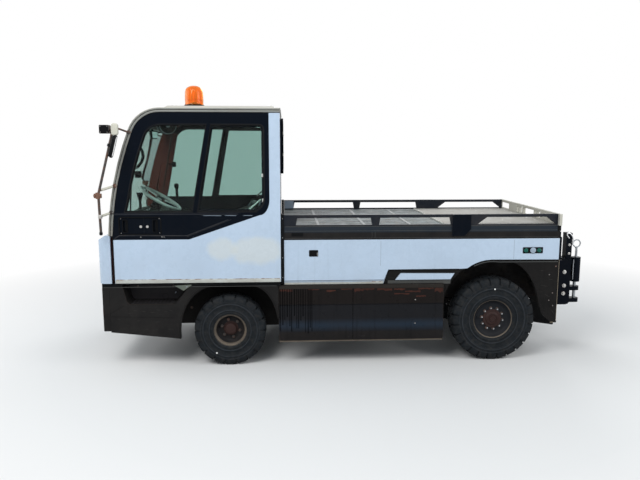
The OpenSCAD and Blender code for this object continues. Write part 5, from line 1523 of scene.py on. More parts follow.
def make_skirts():
    """Flanges, folds, scrapes and fasteners of the black lower panels."""
    DICE.seed(11)
    for draw in (arch_lips, skirt_folds, step_well_plates, sill_trim):
        both(draw).done()


def sill_y(z):
    """Outer face of the bent sill at a height."""
    for (za, ya), (zb, yb) in zip(SILL_LINE, SILL_LINE[1:]):
        if zb <= z <= za:
            return ya + (yb - ya) * (za - z) / (za - zb)
    return SILL_LINE[0][1] if z > 0.7 else SILL_LINE[-1][1]


def scrape(form, a, b, y):
    """Thin bright scrape with pointed ends."""
    d = (Vector(b) - Vector(a)).normalized()
    n = Vector((-d.y, d.x)) * 0.0016
    a, b = Vector(a), Vector(b)
    mid = (a + b) / 2
    form.slab([tuple(a), tuple(mid + n), tuple(b), tuple(mid - n)], "Y", y - 0.0006, y + 0.0007, "scratch",
              0.0)


def ragged(form, x0, x1, z0, z1, y):
    """Patch of broken paint with an uneven edge."""
    n = 7
    low = [(x0 + (x1 - x0) * i / n, z0 + DICE.random() * (z1 - z0) * 0.5) for i in range(n + 1)]
    top = [(x0 + (x1 - x0) * i / n, z1 - DICE.random() * (z1 - z0) * 0.22) for i in range(n, -1, -1)]
    form.slab(low + top, "Y", y - 0.0006, y + 0.0008, "rust_patch", 0.0)


def drip(form, x, top, low, r):
    """Run of dark oil that follows the sill's folds."""
    heights = [top] + [z for z, _ in SILL_LINE if low < z < top] + [low]
    path = [(x, sill_y(z) + 0.0003, z) for z in heights]
    form.rod(path, r, "oil", 8, section=circle(r, 8, r * 0.45), up=LEFT)
    form.ball((x, sill_y(low) + 0.0003, low), r * 1.5, "oil", (1, 0.45, 1.5), 8)


# Tow coupling
def coupling_hardware():
    """Bolts, bars and springs of the tow coupling."""
    form = Form("coupling_hardware")
    for side in (1, -1):
        for x, z in ((-2.131, 0.693), (-2.134, 0.55), (-2.13, 0.468)):
            form.bolt((x, side * 0.13, z), (0, side, 0), 0.0135, "zinc")
        for x in (-1.86, -2.0):
            for z in (0.5, 0.72):
                form.bolt((x, side * 0.13, z), (0, side, 0), 0.011, "dark_steel")
        form.slab([(-1.8, 0.445), (-1.8, 0.765), (-1.835, 0.765), (-1.835, 0.445)], "Y", side * 0.129,
                  side * 0.142, "frame_paint", 0.002)
    for z, wide in ((0.8, 0.052), (1.06, 0.04)):
        form.slab(rect(-2.236, -wide, -2.168, wide), "Z", z, z + 0.01, "frame_paint", 0.002)
    form.rod([(-2.196, 0.052, 1.03), (-2.17, 0.054, 1.062), (-2.172, 0.054, 1.08), (-2.19, 0.052, 1.086),
              (-2.211, 0.05, 1.074), (-2.233, 0.046, 1.045), (-2.244, 0.04, 1.012), (-2.246, 0.034, 0.972)],
             0.0065, "chrome", 12)
    form.ball((-2.246, 0.033, 0.966), 0.0095, "chrome", n=12)
    for z in (0.87, 0.96):
        form.bolt((-2.205, 0.0455, z), LEFT, 0.009, "zinc")
        form.bolt((-2.205, -0.0455, z), RIGHT, 0.009, "zinc")
    for y in (-0.06, 0.06):
        form.rod([(PIN_X + 0.032, y * 0.45, 0.812), (PIN_X + 0.04, y * 0.62, 0.76),
                  (PIN_X + 0.04, y * 0.62, 0.64), (PIN_X + 0.032, y * 0.45, 0.585)], 0.0055, "silver", 10)
    form.turned([(0, 0.0465), (0.006, 0.0475), (0.014, 0.0475), (0.02, 0.044)], (PIN_X, 0, 0.57), UP,
                "silver", 36)
    form.done()


def tow_pin():
    """Pin with its rod, spring and pull ring."""
    ring = Form("coupling_pin_ring", "tow_pin")
    rod_top, centre = 0.93, 0.968
    ring.turned([(0, 0.016), (0.47, 0.016), (0.4865, 0.013), (0.4865, 0)], (PIN_X, 0, 0.353), UP, "silver",
                32)
    ring.turned([(0, 0.008), (0.11, 0.008)], (PIN_X, 0, 0.824), UP, "silver", 20)
    ring.turned([(0, 0.0125), (0.003, 0.014), (0.013, 0.014), (0.016, 0.012)], (PIN_X, 0, rod_top - 0.016),
                UP, "silver", 20)
    path = [(PIN_X + u, 0, centre + v) for u, v in circle(0.038, 48)]
    ring.rod(path, 0.0066, "silver", 12, closed=True, up=LEFT)
    coil = []
    for k in range(90):
        a = tau * k / 12
        coil.append((PIN_X + 0.0122 * cos(a), 0.0122 * sin(a), 0.836 + 0.07 * k / 89))
    ring.rod(coil, 0.0019, "silver", 6)
    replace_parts(ring.done(), "hitch_pin")


def make_coupling():
    coupling_hardware()
    tow_pin()


# Cab
WHEEL_C = Vector((1.88, 0.35, 1.48))
STEER_TILT = radians(31)


def make_steering():
    """Steering wheel with a ribbed rim, three spokes and a hub cover."""
    flat = Matrix.Translation(WHEEL_C) @ Matrix.Rotation(-STEER_TILT, 4, "Y")
    form = Form("steering_wheel_dressed", "steering_wheel", flat)
    n, rings = 96, []
    for i in range(n):
        a = tau * i / n
        swell = 0.0144 + 0.0006 * cos(a * 32)
        rings.append([((0.2 + swell * cos(b)) * cos(a), (0.2 + swell * cos(b)) * sin(a), swell * sin(b))
                      for b in (tau * k / 14 for k in range(14))])
    form.loft(rings, "wheel_plastic", closed=True)
    spoke = ((0.028, 0.024, -0.002, 0.006), (0.07, 0.019, 0.001, 0.005), (0.13, 0.0135, 0.001, 0.0042),
             (0.188, 0.016, 0.0, 0.0045))
    bars = [[(r, -w, z - t), (r, w, z - t), (r, w * 0.8, z + t), (r, -w * 0.8, z + t)] for r, w, z,
            t in spoke]
    for degrees in (90, 210, 330):
        form.at = flat @ Matrix.Rotation(radians(degrees), 4, "Z")
        form.loft(bars, "wheel_plastic", 0.002)
    form.at = flat
    form.turned([(-0.0175, 0.036), (-0.01, 0.041), (0.004, 0.0415), (0.012, 0.04), (0.019, 0.034),
                 (0.0215, 0.022), (0.0222, 0)], CENTRE, UP, "grip_plastic", 40)
    form.turned([(0.02, 0.0165), (0.0222, 0.0165), (0.0223, 0.012), (0.0218, 0)], CENTRE, UP,
                "wheel_plastic", 32)
    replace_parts(form.done(), "steering_wheel")


def dash_trim():
    """Gauges, cowl, switches, vents and stalks."""
    form = Form("dash_trim")
    y = WHEEL_C.y
    form.at = place((1.9945, y, 1.3425), ("Y", -65.5))
    form.slab(rounded(-0.05, -0.16, 0.05, 0.16, 0.02), "Z", -0.002, 0.004, "black_plastic", 0.002)
    for dy, r in ((-0.095, 0.036), (0.0, 0.042), (0.095, 0.036)):
        form.ring([(0.002, r + 0.005), (0.008, r + 0.004), (0.009, r), (0.004, r - 0.002)], (0.002, dy, 0),
                  UP, "silver", 36, 0.0008)
        form.turned([(0.003, r - 0.001), (0.005, r - 0.001), (0.005, 0)], (0.002, dy, 0), UP, "white_dab",
                    36)
        form.slab([(-0.0015, dy - 0.001), (r * 0.75, dy + 0.012), (r * 0.72, dy + 0.015),
                   (-0.002, dy + 0.002)], "Z", 0.005, 0.0062, "red_lens", 0.0002)
    form.at = Matrix()
    cowl = [(2.214, 1.232), (2.198, 1.292), (2.166, 1.352), (2.14, 1.374), (2.112, 1.382), (2.106, 1.33)]
    form.slab(chamfer(cowl, 0.012), "Y", y - 0.175, y + 0.175, "shell_paint", 0.006)
    form.turned([(0, 0.024), (0.006, 0.022), (0.012, 0.013), (0.07, 0.011), (0.105, 0.022), (0.14, 0.031),
                 (0.146, 0.031), (0.14, 0.026), (0.108, 0.017), (0.1, 0)], (2.068, y, 1.386), UP,
                "black_plastic", 28)
    for k in range(6):
        sy = -0.56 + k * 0.062
        form.box((1.944, sy, 1.225), (1.9525, sy + 0.044, 1.262), "black_plastic", 0.003)
        coat = "red_lens" if k == 1 else "grey_plastic"
        form.box((1.941, sy + 0.01, 1.236), (1.946, sy + 0.034, 1.251), coat, 0.0015)
    for k in range(4):
        form.border(rounded(-0.62 + k * 0.16, 1.1, -0.5 + k * 0.16, 1.165, 0.012),
                    rounded(-0.612 + k * 0.16, 1.108, -0.508 + k * 0.16, 1.157, 0.008), "X", 2.03, 2.06,
                    "black_plastic", 0.001)
    axis = Vector((-sin(STEER_TILT), 0, cos(STEER_TILT)))
    collar = WHEEL_C - axis * 0.075
    form.turned([(0, 0.04), (0.004, 0.046), (0.05, 0.046), (0.054, 0.04)], collar - axis * 0.03, axis,
                "black_plastic", 28)
    for side in (-1, 1):
        start = collar + Vector((0, side * 0.04, 0))
        form.rod([start, start + Vector((0.006, side * 0.06, 0.006)),
                  start + Vector((0.01, side * 0.135, 0.016))], 0.0052, "black_plastic", 10)
        form.ball(start + Vector((0.0105, side * 0.142, 0.0175)), 0.011, "black_plastic", (1, 1.5, 1), 12)
    form.done()


def lever_boots():
    """Bellows and knobs of the two floor levers."""
    levers = Form("lever_boots")
    for x, sy, tall in ((X_FRONT + 0.53, 0.06, 0.8), (X_FRONT + 0.44, 0.09, 0.56)):
        profile = [(0.0, 0.052)]
        for k in range(5):
            profile += [(0.008 + k * 0.016, 0.048 - k * 0.007), (0.016 + k * 0.016, 0.038 - k * 0.006)]
        levers.turned(profile + [(0.094, 0.0095)], (x + 0.002, sy, FLOOR_Z + 0.001), (0.035, 0, 1), "seal",
                      28)
        top = Vector((x + 0.03, sy, FLOOR_Z + tall))
        levers.turned([(-0.118, 0.0105), (-0.112, 0.0125), (-0.02, 0.0135), (0.0, 0.02), (0.014, 0.023),
                       (0.026, 0.018), (0.031, 0.009), (0.032, 0)], top, (0.035, 0, 1), "black_plastic", 24)
    levers.done()


def cab_fan():
    """Round fan under the roof with its wire cages."""
    fan = Form("cab_fan", at=place((X_FRONT + 0.563, 0.45, ROOF_Z - SKIN - 0.128), ("Z", -60), ("Y", 90)))
    for z in (-0.034, 0.034):
        fan.rod([(u, v, z) for u, v in circle(0.076, 48)], 0.0042, "silver", 8, closed=True, up=UP)
        for r in (0.024, 0.042, 0.06):
            fan.rod([(u, v, z * 1.12) for u, v in circle(r, 36)], 0.0014, "dark_steel", 6, closed=True,
                    up=UP)
        for near, far in zip(circle(0.014, 10), circle(0.075, 10)):
            fan.rod([(*near, z * 1.12), (*far, z)], 0.0014, "dark_steel", 6)
        fan.turned([(0, 0.02), (0.004, 0.02), (0.007, 0.015), (0.008, 0)], (0, 0, z * 1.05),
                   (0, 0, 1 if z > 0 else -1), "silver", 28)
    fan.done()


def cab_fittings():
    """Grab handle, far post's lining, inner mirror and the roof's lining."""
    inside = Form("cab_fittings")
    handle = [(2.06, 0.705, 1.985), (2.01, 0.712, 1.985), (1.972, 0.718, 1.958), (1.948, 0.72, 1.915),
              (1.942, 0.72, 1.872), (1.958, 0.72, 1.828), (1.994, 0.716, 1.783), (2.06, 0.705, 1.765),
              (2.12, 0.7, 1.765)]
    inside.rod(handle[:7], 0.0125, "black_plastic", 14)
    inside.rod(handle[6:], 0.0122, "silver", 14)
    inside.rod([handle[0], (2.08, 0.7, 1.985)], 0.0122, "silver", 14)
    inside.slab(rounded(1.968, 1.69, 2.02, 1.748, 0.01), "Y", 0.69, 0.728, "black_plastic", 0.004)
    inside.rod([(2.02, 0.708, 1.722), (2.13, 0.702, 1.73)], 0.008, "black_plastic", 10)
    # Brown lining of the far post
    post = [(1.883, 2.092), (1.999, 2.092), (2.046, 1.88), (2.082, 1.68), (2.115, 1.487), (2.15, 1.33),
            (2.035, 1.33), (1.997, 1.487), (1.96, 1.68), (1.924, 1.88)]
    inside.slab(post, "Y", -0.735, -0.7, "brown_paint", 0.01)
    inside.slab([(1.935, 2.085), (1.95, 2.085), (2.06, 1.487), (2.046, 1.487)], "Y", -0.702, -0.694,
                "hub_paint", 0.003)
    inside.slab(rounded(1.905, 1.735, 1.945, 1.79, 0.008), "Y", -0.7, -0.67, "black_plastic", 0.003)
    inside.rod([(1.945, -0.69, 1.764), (1.985, -0.705, 1.764)], 0.007, "black_plastic", 10)
    # Inner mirror and the header's lining
    inside.slab(rounded(-0.16, 2.03, 0.1, 2.105, 0.02), "X", 1.985, 2.0, "black_plastic", 0.004)
    inside.slab(rounded(-0.152, 2.038, 0.092, 2.097, 0.016), "X", 1.9835, 1.986, "mirror", 0.0006)
    inside.rod([(1.998, -0.03, 2.095), (2.01, -0.03, 2.15), (2.0, -0.03, 2.2)], 0.006, "black_plastic", 10)
    for x0, x1 in ((0.86, 1.32), (1.36, 1.78)):
        inside.slab(rect(-0.6, ROOF_Z - 0.035, 0.6, ROOF_Z - 0.018), "X", x0, x1, "liner", 0.004)
    inside.done()


def floor_mats():
    """Ribbed mats and the two pedals."""
    mats = Form("floor_mats")
    for y0, y1 in ((0.12, 0.66), (-0.66, -0.12)):
        mats.slab(rect(1.62, y0, 2.1, y1), "Z", FLOOR_Z, FLOOR_Z + 0.006, "seal", 0.002)
        for k in range(9):
            x = 1.66 + k * 0.05
            mats.slab(rect(x, y0 + 0.03, x + 0.016, y1 - 0.03), "Z", FLOOR_Z + 0.005, FLOOR_Z + 0.009,
                      "seal", 0.001)
    for sy, wide in ((0.26, 0.06), (0.46, 0.05)):
        mats.slab(turn(rounded(2.03, FLOOR_Z + 0.11, 2.042, FLOOR_Z + 0.21, 0.004), (2.036, FLOOR_Z + 0.16),
                       -28), "Y", sy - wide / 2, sy + wide / 2, "black_plastic", 0.003)
        mats.rod([(2.05, sy, FLOOR_Z + 0.165), (2.085, sy, FLOOR_Z + 0.1), (2.1, sy, FLOOR_Z + 0.004)],
                 0.007, "dark_steel", 10)
    mats.done()


def make_dash():
    """Everything on and round the dash."""
    dash_trim()
    lever_boots()
    cab_fan()
    cab_fittings()
    floor_mats()


SEATS = (("right", -0.36), ("left", 0.35))
SEAT_X = 1.405
SWELL, SWELL_CAP = 4.0, 0.01


def pad(name, shape):
    mesh = bmesh.new()
    rings = [[mesh.verts.new(p) for p in ring] for ring in shape]
    n = len(rings[0])
    for a, b in zip(rings, rings[1:]):
        for i in range(n):
            mesh.faces.new((a[i], a[(i + 1) % n], b[(i + 1) % n], b[i]))
    mesh.faces.new(reversed(rings[0]))
    mesh.faces.new(rings[-1])
    bmesh.ops.recalc_face_normals(mesh, faces=mesh.faces)
    data = bpy.data.meshes.new(name)
    mesh.to_mesh(data)
    mesh.free()
    piece = add_object(name, data)
    remesh = piece.modifiers.new("remesh", "REMESH")
    remesh.mode = "VOXEL"
    remesh.voxel_size = 0.012
    settle(piece)
    start = [v.co.copy() for v in piece.data.vertices]
    cloth = piece.modifiers.new("cloth", "CLOTH")
    cloth.settings.use_pressure = True
    cloth.settings.uniform_pressure_force = SWELL
    cloth.settings.effector_weights.gravity = 0
    cloth.settings.quality = 4
    cloth.settings.tension_stiffness = cloth.settings.compression_stiffness = 22
    cloth.settings.bending_stiffness = 2.0
    for step in range(1, 21):
        bpy.context.scene.frame_set(step)
    settle(piece)
    for v, rest in zip(piece.data.vertices, start):
        move = v.co - rest
        if move.length > SWELL_CAP:
            v.co = rest + move.normalized() * SWELL_CAP
    bpy.context.scene.frame_set(1)
    round_off = piece.modifiers.new("round", "SUBSURF")
    round_off.levels = round_off.render_levels = 1
    settle(piece)
    piece.data.shade_smooth()
    piece.data.materials.append(finish("seat_cover"))
    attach(piece, "chassis")
    return piece


def settle(piece):
    """Makes what the modifiers give the piece's own mesh."""
    held = piece.evaluated_get(bpy.context.evaluated_depsgraph_get())
    fresh = bpy.data.meshes.new_from_object(held)
    old, piece.data = piece.data, fresh
    piece.modifiers.clear()
    bpy.data.meshes.remove(old)


def pillow(w, d, h, r, spot):
    """Rings of a cushion w wide, d deep and h thick with a crowned top and drawn-in corners."""
    rings = []
    for t, shrink in ((0.0, 0.02), (0.1, 0.006), (0.3, 0.0), (0.62, 0.0), (0.84, 0.008), (0.95, 0.022),
                      (1.0, 0.05)):
        outline = rounded(-d / 2 + shrink, -w / 2 + shrink, d / 2 - shrink, w / 2 - shrink,
                          max(0.012, r - shrink), 7)
        rings.append([spot @ Vector((p[0], p[1], t * h)) for p in outline])
    return rings


def seat_back(y):
    """Place of a backrest's foot, leaning back."""
    return place((1.17, y, 1.09), ("Y", -12))


def make_seats():
    """Two padded seats with piping, their backs and the box below them."""
    base = Form("seat_box")
    z0, z1 = FLOOR_Z + 0.0005, FLOOR_Z + 0.31
    base.slab(chamfer([(1.09, z0), (1.598, z0), (1.6, z1 - 0.012), (1.588, z1), (1.09, z1)], 0.006), "Y",
              -0.64, 0.64, "dash_plastic", 0.004)
    for _, y in SEATS:
        base.slab(rounded(y - 0.21, z0 + 0.05, y + 0.21, z1 - 0.05, 0.02), "X", 1.598, 1.6035,
                  "black_plastic", 0.002)
        for dy in (-0.18, 0.18):
            base.bolt((1.6035, y + dy, z1 - 0.075), AHEAD, 0.007, "zinc")
        base.box((1.18, y - 0.225, z1 - 0.002), (1.62, y - 0.195, z1 + 0.012), "dark_steel", 0.002)
        base.box((1.18, y + 0.195, z1 - 0.002), (1.62, y + 0.225, z1 + 0.012), "dark_steel", 0.002)
        base.at = seat_back(y)
        base.slab(rounded(-0.205, 0.015, 0.205, 0.31, 0.05, 6), "X", -0.11, -0.098, "black_plastic", 0.003)
        base.at = Matrix()
    pieces = [base.done()]
    for tag, y in SEATS:
        flat = place((SEAT_X, y, 1.083))
        pieces.append(pad("seat_cushion_" + tag, pillow(0.462, 0.452, 0.094, 0.055, flat)))
        back = seat_back(y) @ place((-0.098, 0, 0.165), ("Y", 90))
        pieces.append(pad("seat_back_" + tag, pillow(0.444, 0.314, 0.078, 0.065, back)))
    piping = Form("seat_piping")
    for _, y in SEATS:
        line = rounded(SEAT_X - 0.227, y - 0.232, SEAT_X + 0.227, y + 0.232, 0.056, 8)
        piping.rod([(p[0], p[1], 1.157) for p in line], 0.0045, "seal", 8, closed=True, up=UP)
        for dx in (-0.08, 0.06):
            piping.rod([(SEAT_X + dx, y - 0.19 + k * 0.038, 1.1865 - 0.004 * abs(k - 5) / 5)
                        for k in range(11)], 0.0028, "seal", 8)
        piping.at = seat_back(y)
        line = rounded(-0.223, 0.007, 0.223, 0.323, 0.066, 8)
        piping.rod([(-0.036, p[0], p[1]) for p in line], 0.0045, "seal", 8, closed=True, up=AHEAD)
        piping.at = Matrix()
    piping.done()
    for piece in pieces:
        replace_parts(piece, "seats")


# Lamps, screen surround and underside
def headlamps():
    """Bezel, bowl, bulb and lens of both headlamps."""
    head = Form("headlamp_units")
    x, z = X_BUMPER, 0.64
    for y in (-0.56, 0.56):
        outer = rounded(y - 0.09, 0.585, y + 0.09, 0.695, 0.024)
        head.border(outer, inset(outer, 0.01), "X", x, x + 0.0118, "black_plastic", 0.002)
        head.slab(inset(outer, 0.009), "X", x, x + 0.0015, "reflector", 0.0)
        bowl = [(0.0015, 0.044), (0.004, 0.043), (0.0035, 0.03), (0.0022, 0.014), (0.0022, 0)]
        head.turned(bowl, (x, y - 0.036, z), AHEAD, "reflector", 36)
        head.turned([(0.0022, 0.011), (0.008, 0.009), (0.0095, 0)], (x, y - 0.036, z), AHEAD, "clear_lens",
                    20)
        head.slab(rounded(y + 0.02, 0.6, y + 0.076, 0.68, 0.01), "X", x + 0.0014, x + 0.004, "orange_lens",
                  0.001)
        head.slab(inset(outer, 0.0095), "X", x + 0.008, x + 0.0112, "clear_lens", 0.001)
        for dy, dz in ((-0.083, -0.048), (0.083, -0.048), (-0.083, 0.048), (0.083, 0.048)):
            head.stud((x + 0.0112, y + dy, z + dz), AHEAD, 0.0028, "zinc")
    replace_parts(head.done(), "headlamps")


def tail_lamps():
    """Three ribbed lenses side by side on each tail lamp."""
    tail = Form("tail_lamp_units")
    for side in (-1, 1):
        tail.at = mirrored(side)
        x, y0, y1 = X_TAIL, Y_BED - 0.32, Y_BED - 0.12
        outer = rounded(y0, 0.82, y1, 0.9, 0.01)
        tail.slab(outer, "X", x - 0.0008, x + 0.012, "black_plastic", 0.002)
        third = (y1 - y0 - 0.012) / 3
        for k, coat in enumerate(("clear_lens", "red_lens", "orange_lens")):
            a = y0 + 0.006 + third * k
            tail.slab(rounded(a + 0.001, 0.826, a + third - 0.001, 0.894, 0.005), "X", x - 0.003, x, coat,
                      0.001)
            for i in range(6):
                z = 0.833 + i * 0.0105
                tail.box((x - 0.0034, a + 0.004, z), (x - 0.0029, a + third - 0.004, z + 0.003), coat,
                         0.0002)
        for y in (y0 + 0.004, y1 - 0.004):
            tail.stud((x - 0.0006, y, 0.86), BACK, 0.0026, "zinc")
    tail.at = Matrix()
    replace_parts(tail.done(), "tail_lamps")


def screen_surround():
    """Rubber round the windscreen."""
    glass = Form("screen_surround")
    edge = screen_line(SKIN - 0.0105, 14)
    edge = [p for p in edge if p[1] > FOOT_Z + 0.02]
    for side in (1, -1):
        path = [(p[0], side * (Y_CAB - 0.03), p[1]) for p in edge]
        glass.rod(path, 0, "seal", up=LEFT, section=rect(-0.004, -0.014, 0.004, 0.014), soft=0.0015)
    for point in (edge[0], edge[-1]):
        glass.rod([(point[0], -Y_CAB + 0.03, point[1]), (point[0], Y_CAB - 0.03, point[1])], 0, "seal",
                  up=UP, section=rect(-0.004, -0.012, 0.004, 0.012), soft=0.0015)
    glass.done()


def rear_window_trim():
    """Frame, rubber and catches of the rear window."""
    window = Form("rear_window_trim")
    line = rounded(-0.52, 1.74, 0.52, ROOF_Z - 0.1, 0.06, 7)
    window.border(inset(line, -0.026), inset(line, -0.016), "X", X_CAB - 0.0285, X_CAB - 0.02,
                  "frame_paint", 0.001)
    window.border(inset(line, -0.002), inset(line, 0.012), "X", X_CAB - 0.004, X_CAB + 0.016, "seal", 0.002)
    for y in (-0.546, 0.546):
        for z in (2.078, 1.889):
            window.box((X_CAB - 0.031, y - 0.012, z - 0.014), (X_CAB - 0.025, y + 0.0015, z + 0.014),
                       "zinc", 0.0015)
    window.done()


def make_lamps():
    """Lamps and the rubber of the fixed windows."""
    headlamps()
    tail_lamps()
    screen_surround()
    rear_window_trim()


def make_underside():
    """Shaft, spring clips and splash plates below the body; the dark plates also stand in for the shade
    there.
    """
    form = Form("underside")
    z = REAR_WHEEL["z"]
    start, end = Vector((0.08, 0, 0.64)), Vector((X_REAR + 0.215, 0, z + 0.004))
    d = (end - start).normalized()
    form.rod([start, end], 0.034, "dark_steel", 20)
    for at, way in ((start, d), (end, -d)):
        form.turned([(0, 0.062), (0.012, 0.062), (0.014, 0.045), (0.036, 0.04), (0.06, 0.034)], at, way,
                    "iron", 24)
        for k in range(4):
            a = tau * (k + 0.5) / 4
            _, u, v = axes(way)
            form.bolt(at + (u * cos(a) + v * sin(a)) * 0.051 + way * 0.012, way, 0.007, "zinc", False)
    for side in (1, -1):
        form.at = mirrored(side)
        near, far = 0.292, 0.348
        for x, low, top in ((X_FRONT, 0.366, 0.412), (X_REAR, 0.438, 0.498)):
            for dx in (-0.042, 0.042):
                bend = 0.006
                form.rod([(x + dx, near, low - 0.02), (x + dx, near, top),
                          (x + dx, near + bend, top + 0.007), (x + dx, far - bend, top + 0.007),
                          (x + dx, far, top), (x + dx, far, low - 0.02)], 0.006, "dark_steel", 10)
                for y in (near, far):
                    form.bolt((x + dx, y, low - 0.01), DOWN, 0.008, "zinc", False)
        for x in (X_FRONT + 0.4, X_FRONT - 0.4, X_REAR + 0.45, X_REAR - 0.45):
            low = 0.412 if abs(x - X_FRONT) < 0.5 else 0.5
            form.turned([(-0.036, 0.012), (0.036, 0.012)], (x, 0.32, low + 0.018), LEFT, "dark_steel", 16)
            form.bolt((x, 0.356, low + 0.018), LEFT, 0.009, "dark_steel")
        # Dark splash plates round the front wheels; reaching down near the floor, they also stand in for the
        # shade under the body
        form.slab([(X_FRONT - 0.47, 0.245), (X_FRONT - 0.47, 0.725), (X_FRONT + 0.62, 0.725),
                   (X_FRONT + 0.62, 0.275), (X_FRONT + 0.3, 0.275), (X_FRONT + 0.24, 0.5),
                   (X_FRONT - 0.24, 0.5), (X_FRONT - 0.29, 0.245)], "Y", 0.3515, 0.3545, "arch_paint",
                  0.001)
        form.slab([(0.19, 0.194), (0.728, 0.319), (0.736, 0.328), (0.736, 0.6), (0.19, 0.6)], "X",
                  X_TAIL + 0.016, X_TAIL + 0.024, "seal", 0.002)
        form.slab(rect(0.722, 0.948, 0.7615, 1.15), "X", X_TAIL - 0.013, X_TAIL - 0.0006, "frame_paint",
                  0.003)
    form.at = Matrix()
    form.done()


# Stage
def lamp(name, stand, aim, size, power):
    """White lamp of a given width and height, aimed at a point."""
    data = bpy.data.lights.new(name, "AREA")
    data.shape = "RECTANGLE"
    data.size, data.size_y = size
    data.energy = power
    holder = add_object(name, data)
    holder.location = stand
    holder.rotation_euler = (Vector(aim) - Vector(stand)).to_track_quat("-Z", "Y").to_euler()


def floor_finish():
    """Pale floor that keeps the shadow near the object and turns white farther off."""
    f = Finish("floor")
    grain = f.between(f.cloud(60, 5, 0.6), 0.3, 0.7)
    f.set(Base_Color=f.blend(f.times(grain, 0.06), (0.72, 0.72, 0.71), (0.62, 0.62, 0.61)), Roughness=0.9,
          Specular_IOR_Level=0.1)
    white = f.node("Emission")
    path = f.node("LightPath")
    seen = f.maths("MAXIMUM", path.outputs["Is Camera Ray"],
                   f.maths("MAXIMUM", path.outputs["Is Glossy Ray"], path.outputs["Is Transmission Ray"]))
    away = f.node("VectorMath")
    away.operation = "LENGTH"
    f.link(f.place, away.inputs[0])
    far = f.between(away.outputs["Value"], 2.9, 6.0)
    mix = f.node("MixShader")
    f.link(f.times(far, seen), mix.inputs[0])
    f.link(f.shader.outputs[0], mix.inputs[1])
    f.link(white.outputs[0], mix.inputs[2])
    f.link(mix.outputs[0], f.out.inputs["Surface"])
    return f.material


def make_floor():
    """Round floor under the wheels."""
    mesh = bpy.data.meshes.new("floor")
    reach, rows, n, z = 14.0, 6, 48, -0.0005
    points = [(0, 0, z)]
    for k in range(1, rows + 1):
        r = reach * k / rows
        points += [(r * cos(tau * i / n), r * sin(tau * i / n), z) for i in range(n)]
    faces = []
    for i in range(n):
        j = (i + 1) % n
        faces.append((0, 1 + i, 1 + j))
        for k in range(rows - 1):
            a, b = 1 + k * n, 1 + (k + 1) * n
            faces.append((a + i, b + i, b + j, a + j))
    mesh.from_pydata(points, [], faces)
    mesh.materials.append(floor_finish())
    add_object("floor", mesh)


def make_sky(strength):
    """Pale blue light from all sides, seen as plain white by the camera and in reflections."""
    world = bpy.data.worlds.new("studio")
    bpy.context.scene.world = world
    world.use_nodes = True
    tree = world.node_tree
    tree.nodes.clear()

    def node(kind, *inputs):
        made = tree.nodes.new("ShaderNode" + kind)
        for k, value in enumerate(inputs):
            if isinstance(value, bpy.types.NodeSocket):
                tree.links.new(value, made.inputs[k])
            else:
                made.inputs[k].default_value = value
        return made

    sky = node("Background", (0.86, 0.93, 1.0, 1), strength).outputs[0]
    plain = node("Background", (1, 1, 1, 1), 1.0).outputs[0]
    path = node("LightPath")
    seen = node("Math", path.outputs["Is Camera Ray"], path.outputs["Is Transmission Ray"])
    also = node("Math", seen.outputs[0], path.outputs["Is Glossy Ray"])
    seen.operation = also.operation = "MAXIMUM"
    node("OutputWorld", node("MixShader", also.outputs[0], sky, plain).outputs[0])


def make_camera(stage):
    """The photograph's camera: its place, its three turns and its focal length."""
    data = bpy.data.cameras.new("photo")
    data.sensor_width = 36
    data.lens = 36 * stage.focal_pixels / 640
    data.clip_end = 200
    camera = add_object("photo", data)
    yaw, pitch, roll = stage.yaw, stage.pitch, stage.roll
    ahead = Vector((sin(yaw), -cos(yaw), 0))
    right = Vector((-cos(yaw), -sin(yaw), 0))
    up = Vector(UP)
    look = ahead * cos(pitch) - up * sin(pitch)
    tall = up * cos(pitch) + ahead * sin(pitch)
    side = right * cos(roll) + tall * sin(roll)
    tall = tall * cos(roll) - right * sin(roll)
    turned = Matrix((side, tall, -look)).transposed().to_4x4()
    camera.matrix_world = Matrix.Translation(Vector(stage.camera)) @ turned
    bpy.context.scene.camera = camera


def make_stage(stage):
    """Floor, soft studio light, white background and the camera of the photograph."""
    make_floor()
    make_sky(stage.sky)
    lamp("key", (3.2, 4.8, 5.6), (0.2, 0.2, 0.8), (3.2, 3.2), stage.key)
    lamp("fill", (-4.6, 3.2, 3.4), (0, 0, 0.8), (3.0, 3.0), stage.fill)
    lamp("back", (-1.5, -5.0, 4.5), (0, 0, 1.0), (4.0, 2.5), stage.back)
    lamp("front", (6.5, -0.5, 3.0), (0.5, 0, 0.9), (3.0, 2.5), stage.front)
    make_camera(stage)
    bpy.context.scene.view_settings.view_transform = "Standard"


# Settings that a user would change
class TugPaint(bpy.types.PropertyGroup):
    """Colours and wear of the finishes."""

    white: FloatVectorProperty(name="White panels",
                               description="Paint of the doors, nose and platform sides", subtype="COLOR",
                               size=3, min=0, max=1, default=(0.445, 0.545, 0.665))
    cream: FloatVectorProperty(name="Cream parts", description="Paint of the roof and tailboard",
                               subtype="COLOR", size=3, min=0, max=1, default=(0.49, 0.48, 0.42))
    black: FloatVectorProperty(name="Black skirts", description="Paint of the bumper and arch panels",
                               subtype="COLOR", size=3, min=0, max=1, default=(0.0135, 0.013, 0.013))
    wear: FloatProperty(name="Wear", description="Strength of dust, runs and rust", subtype="FACTOR", min=0,
                        max=1, default=1.0)
    window_dust: FloatProperty(name="Window dust", description="Film of dust on the glass",
                               subtype="FACTOR", min=0, max=0.5, default=0.01)


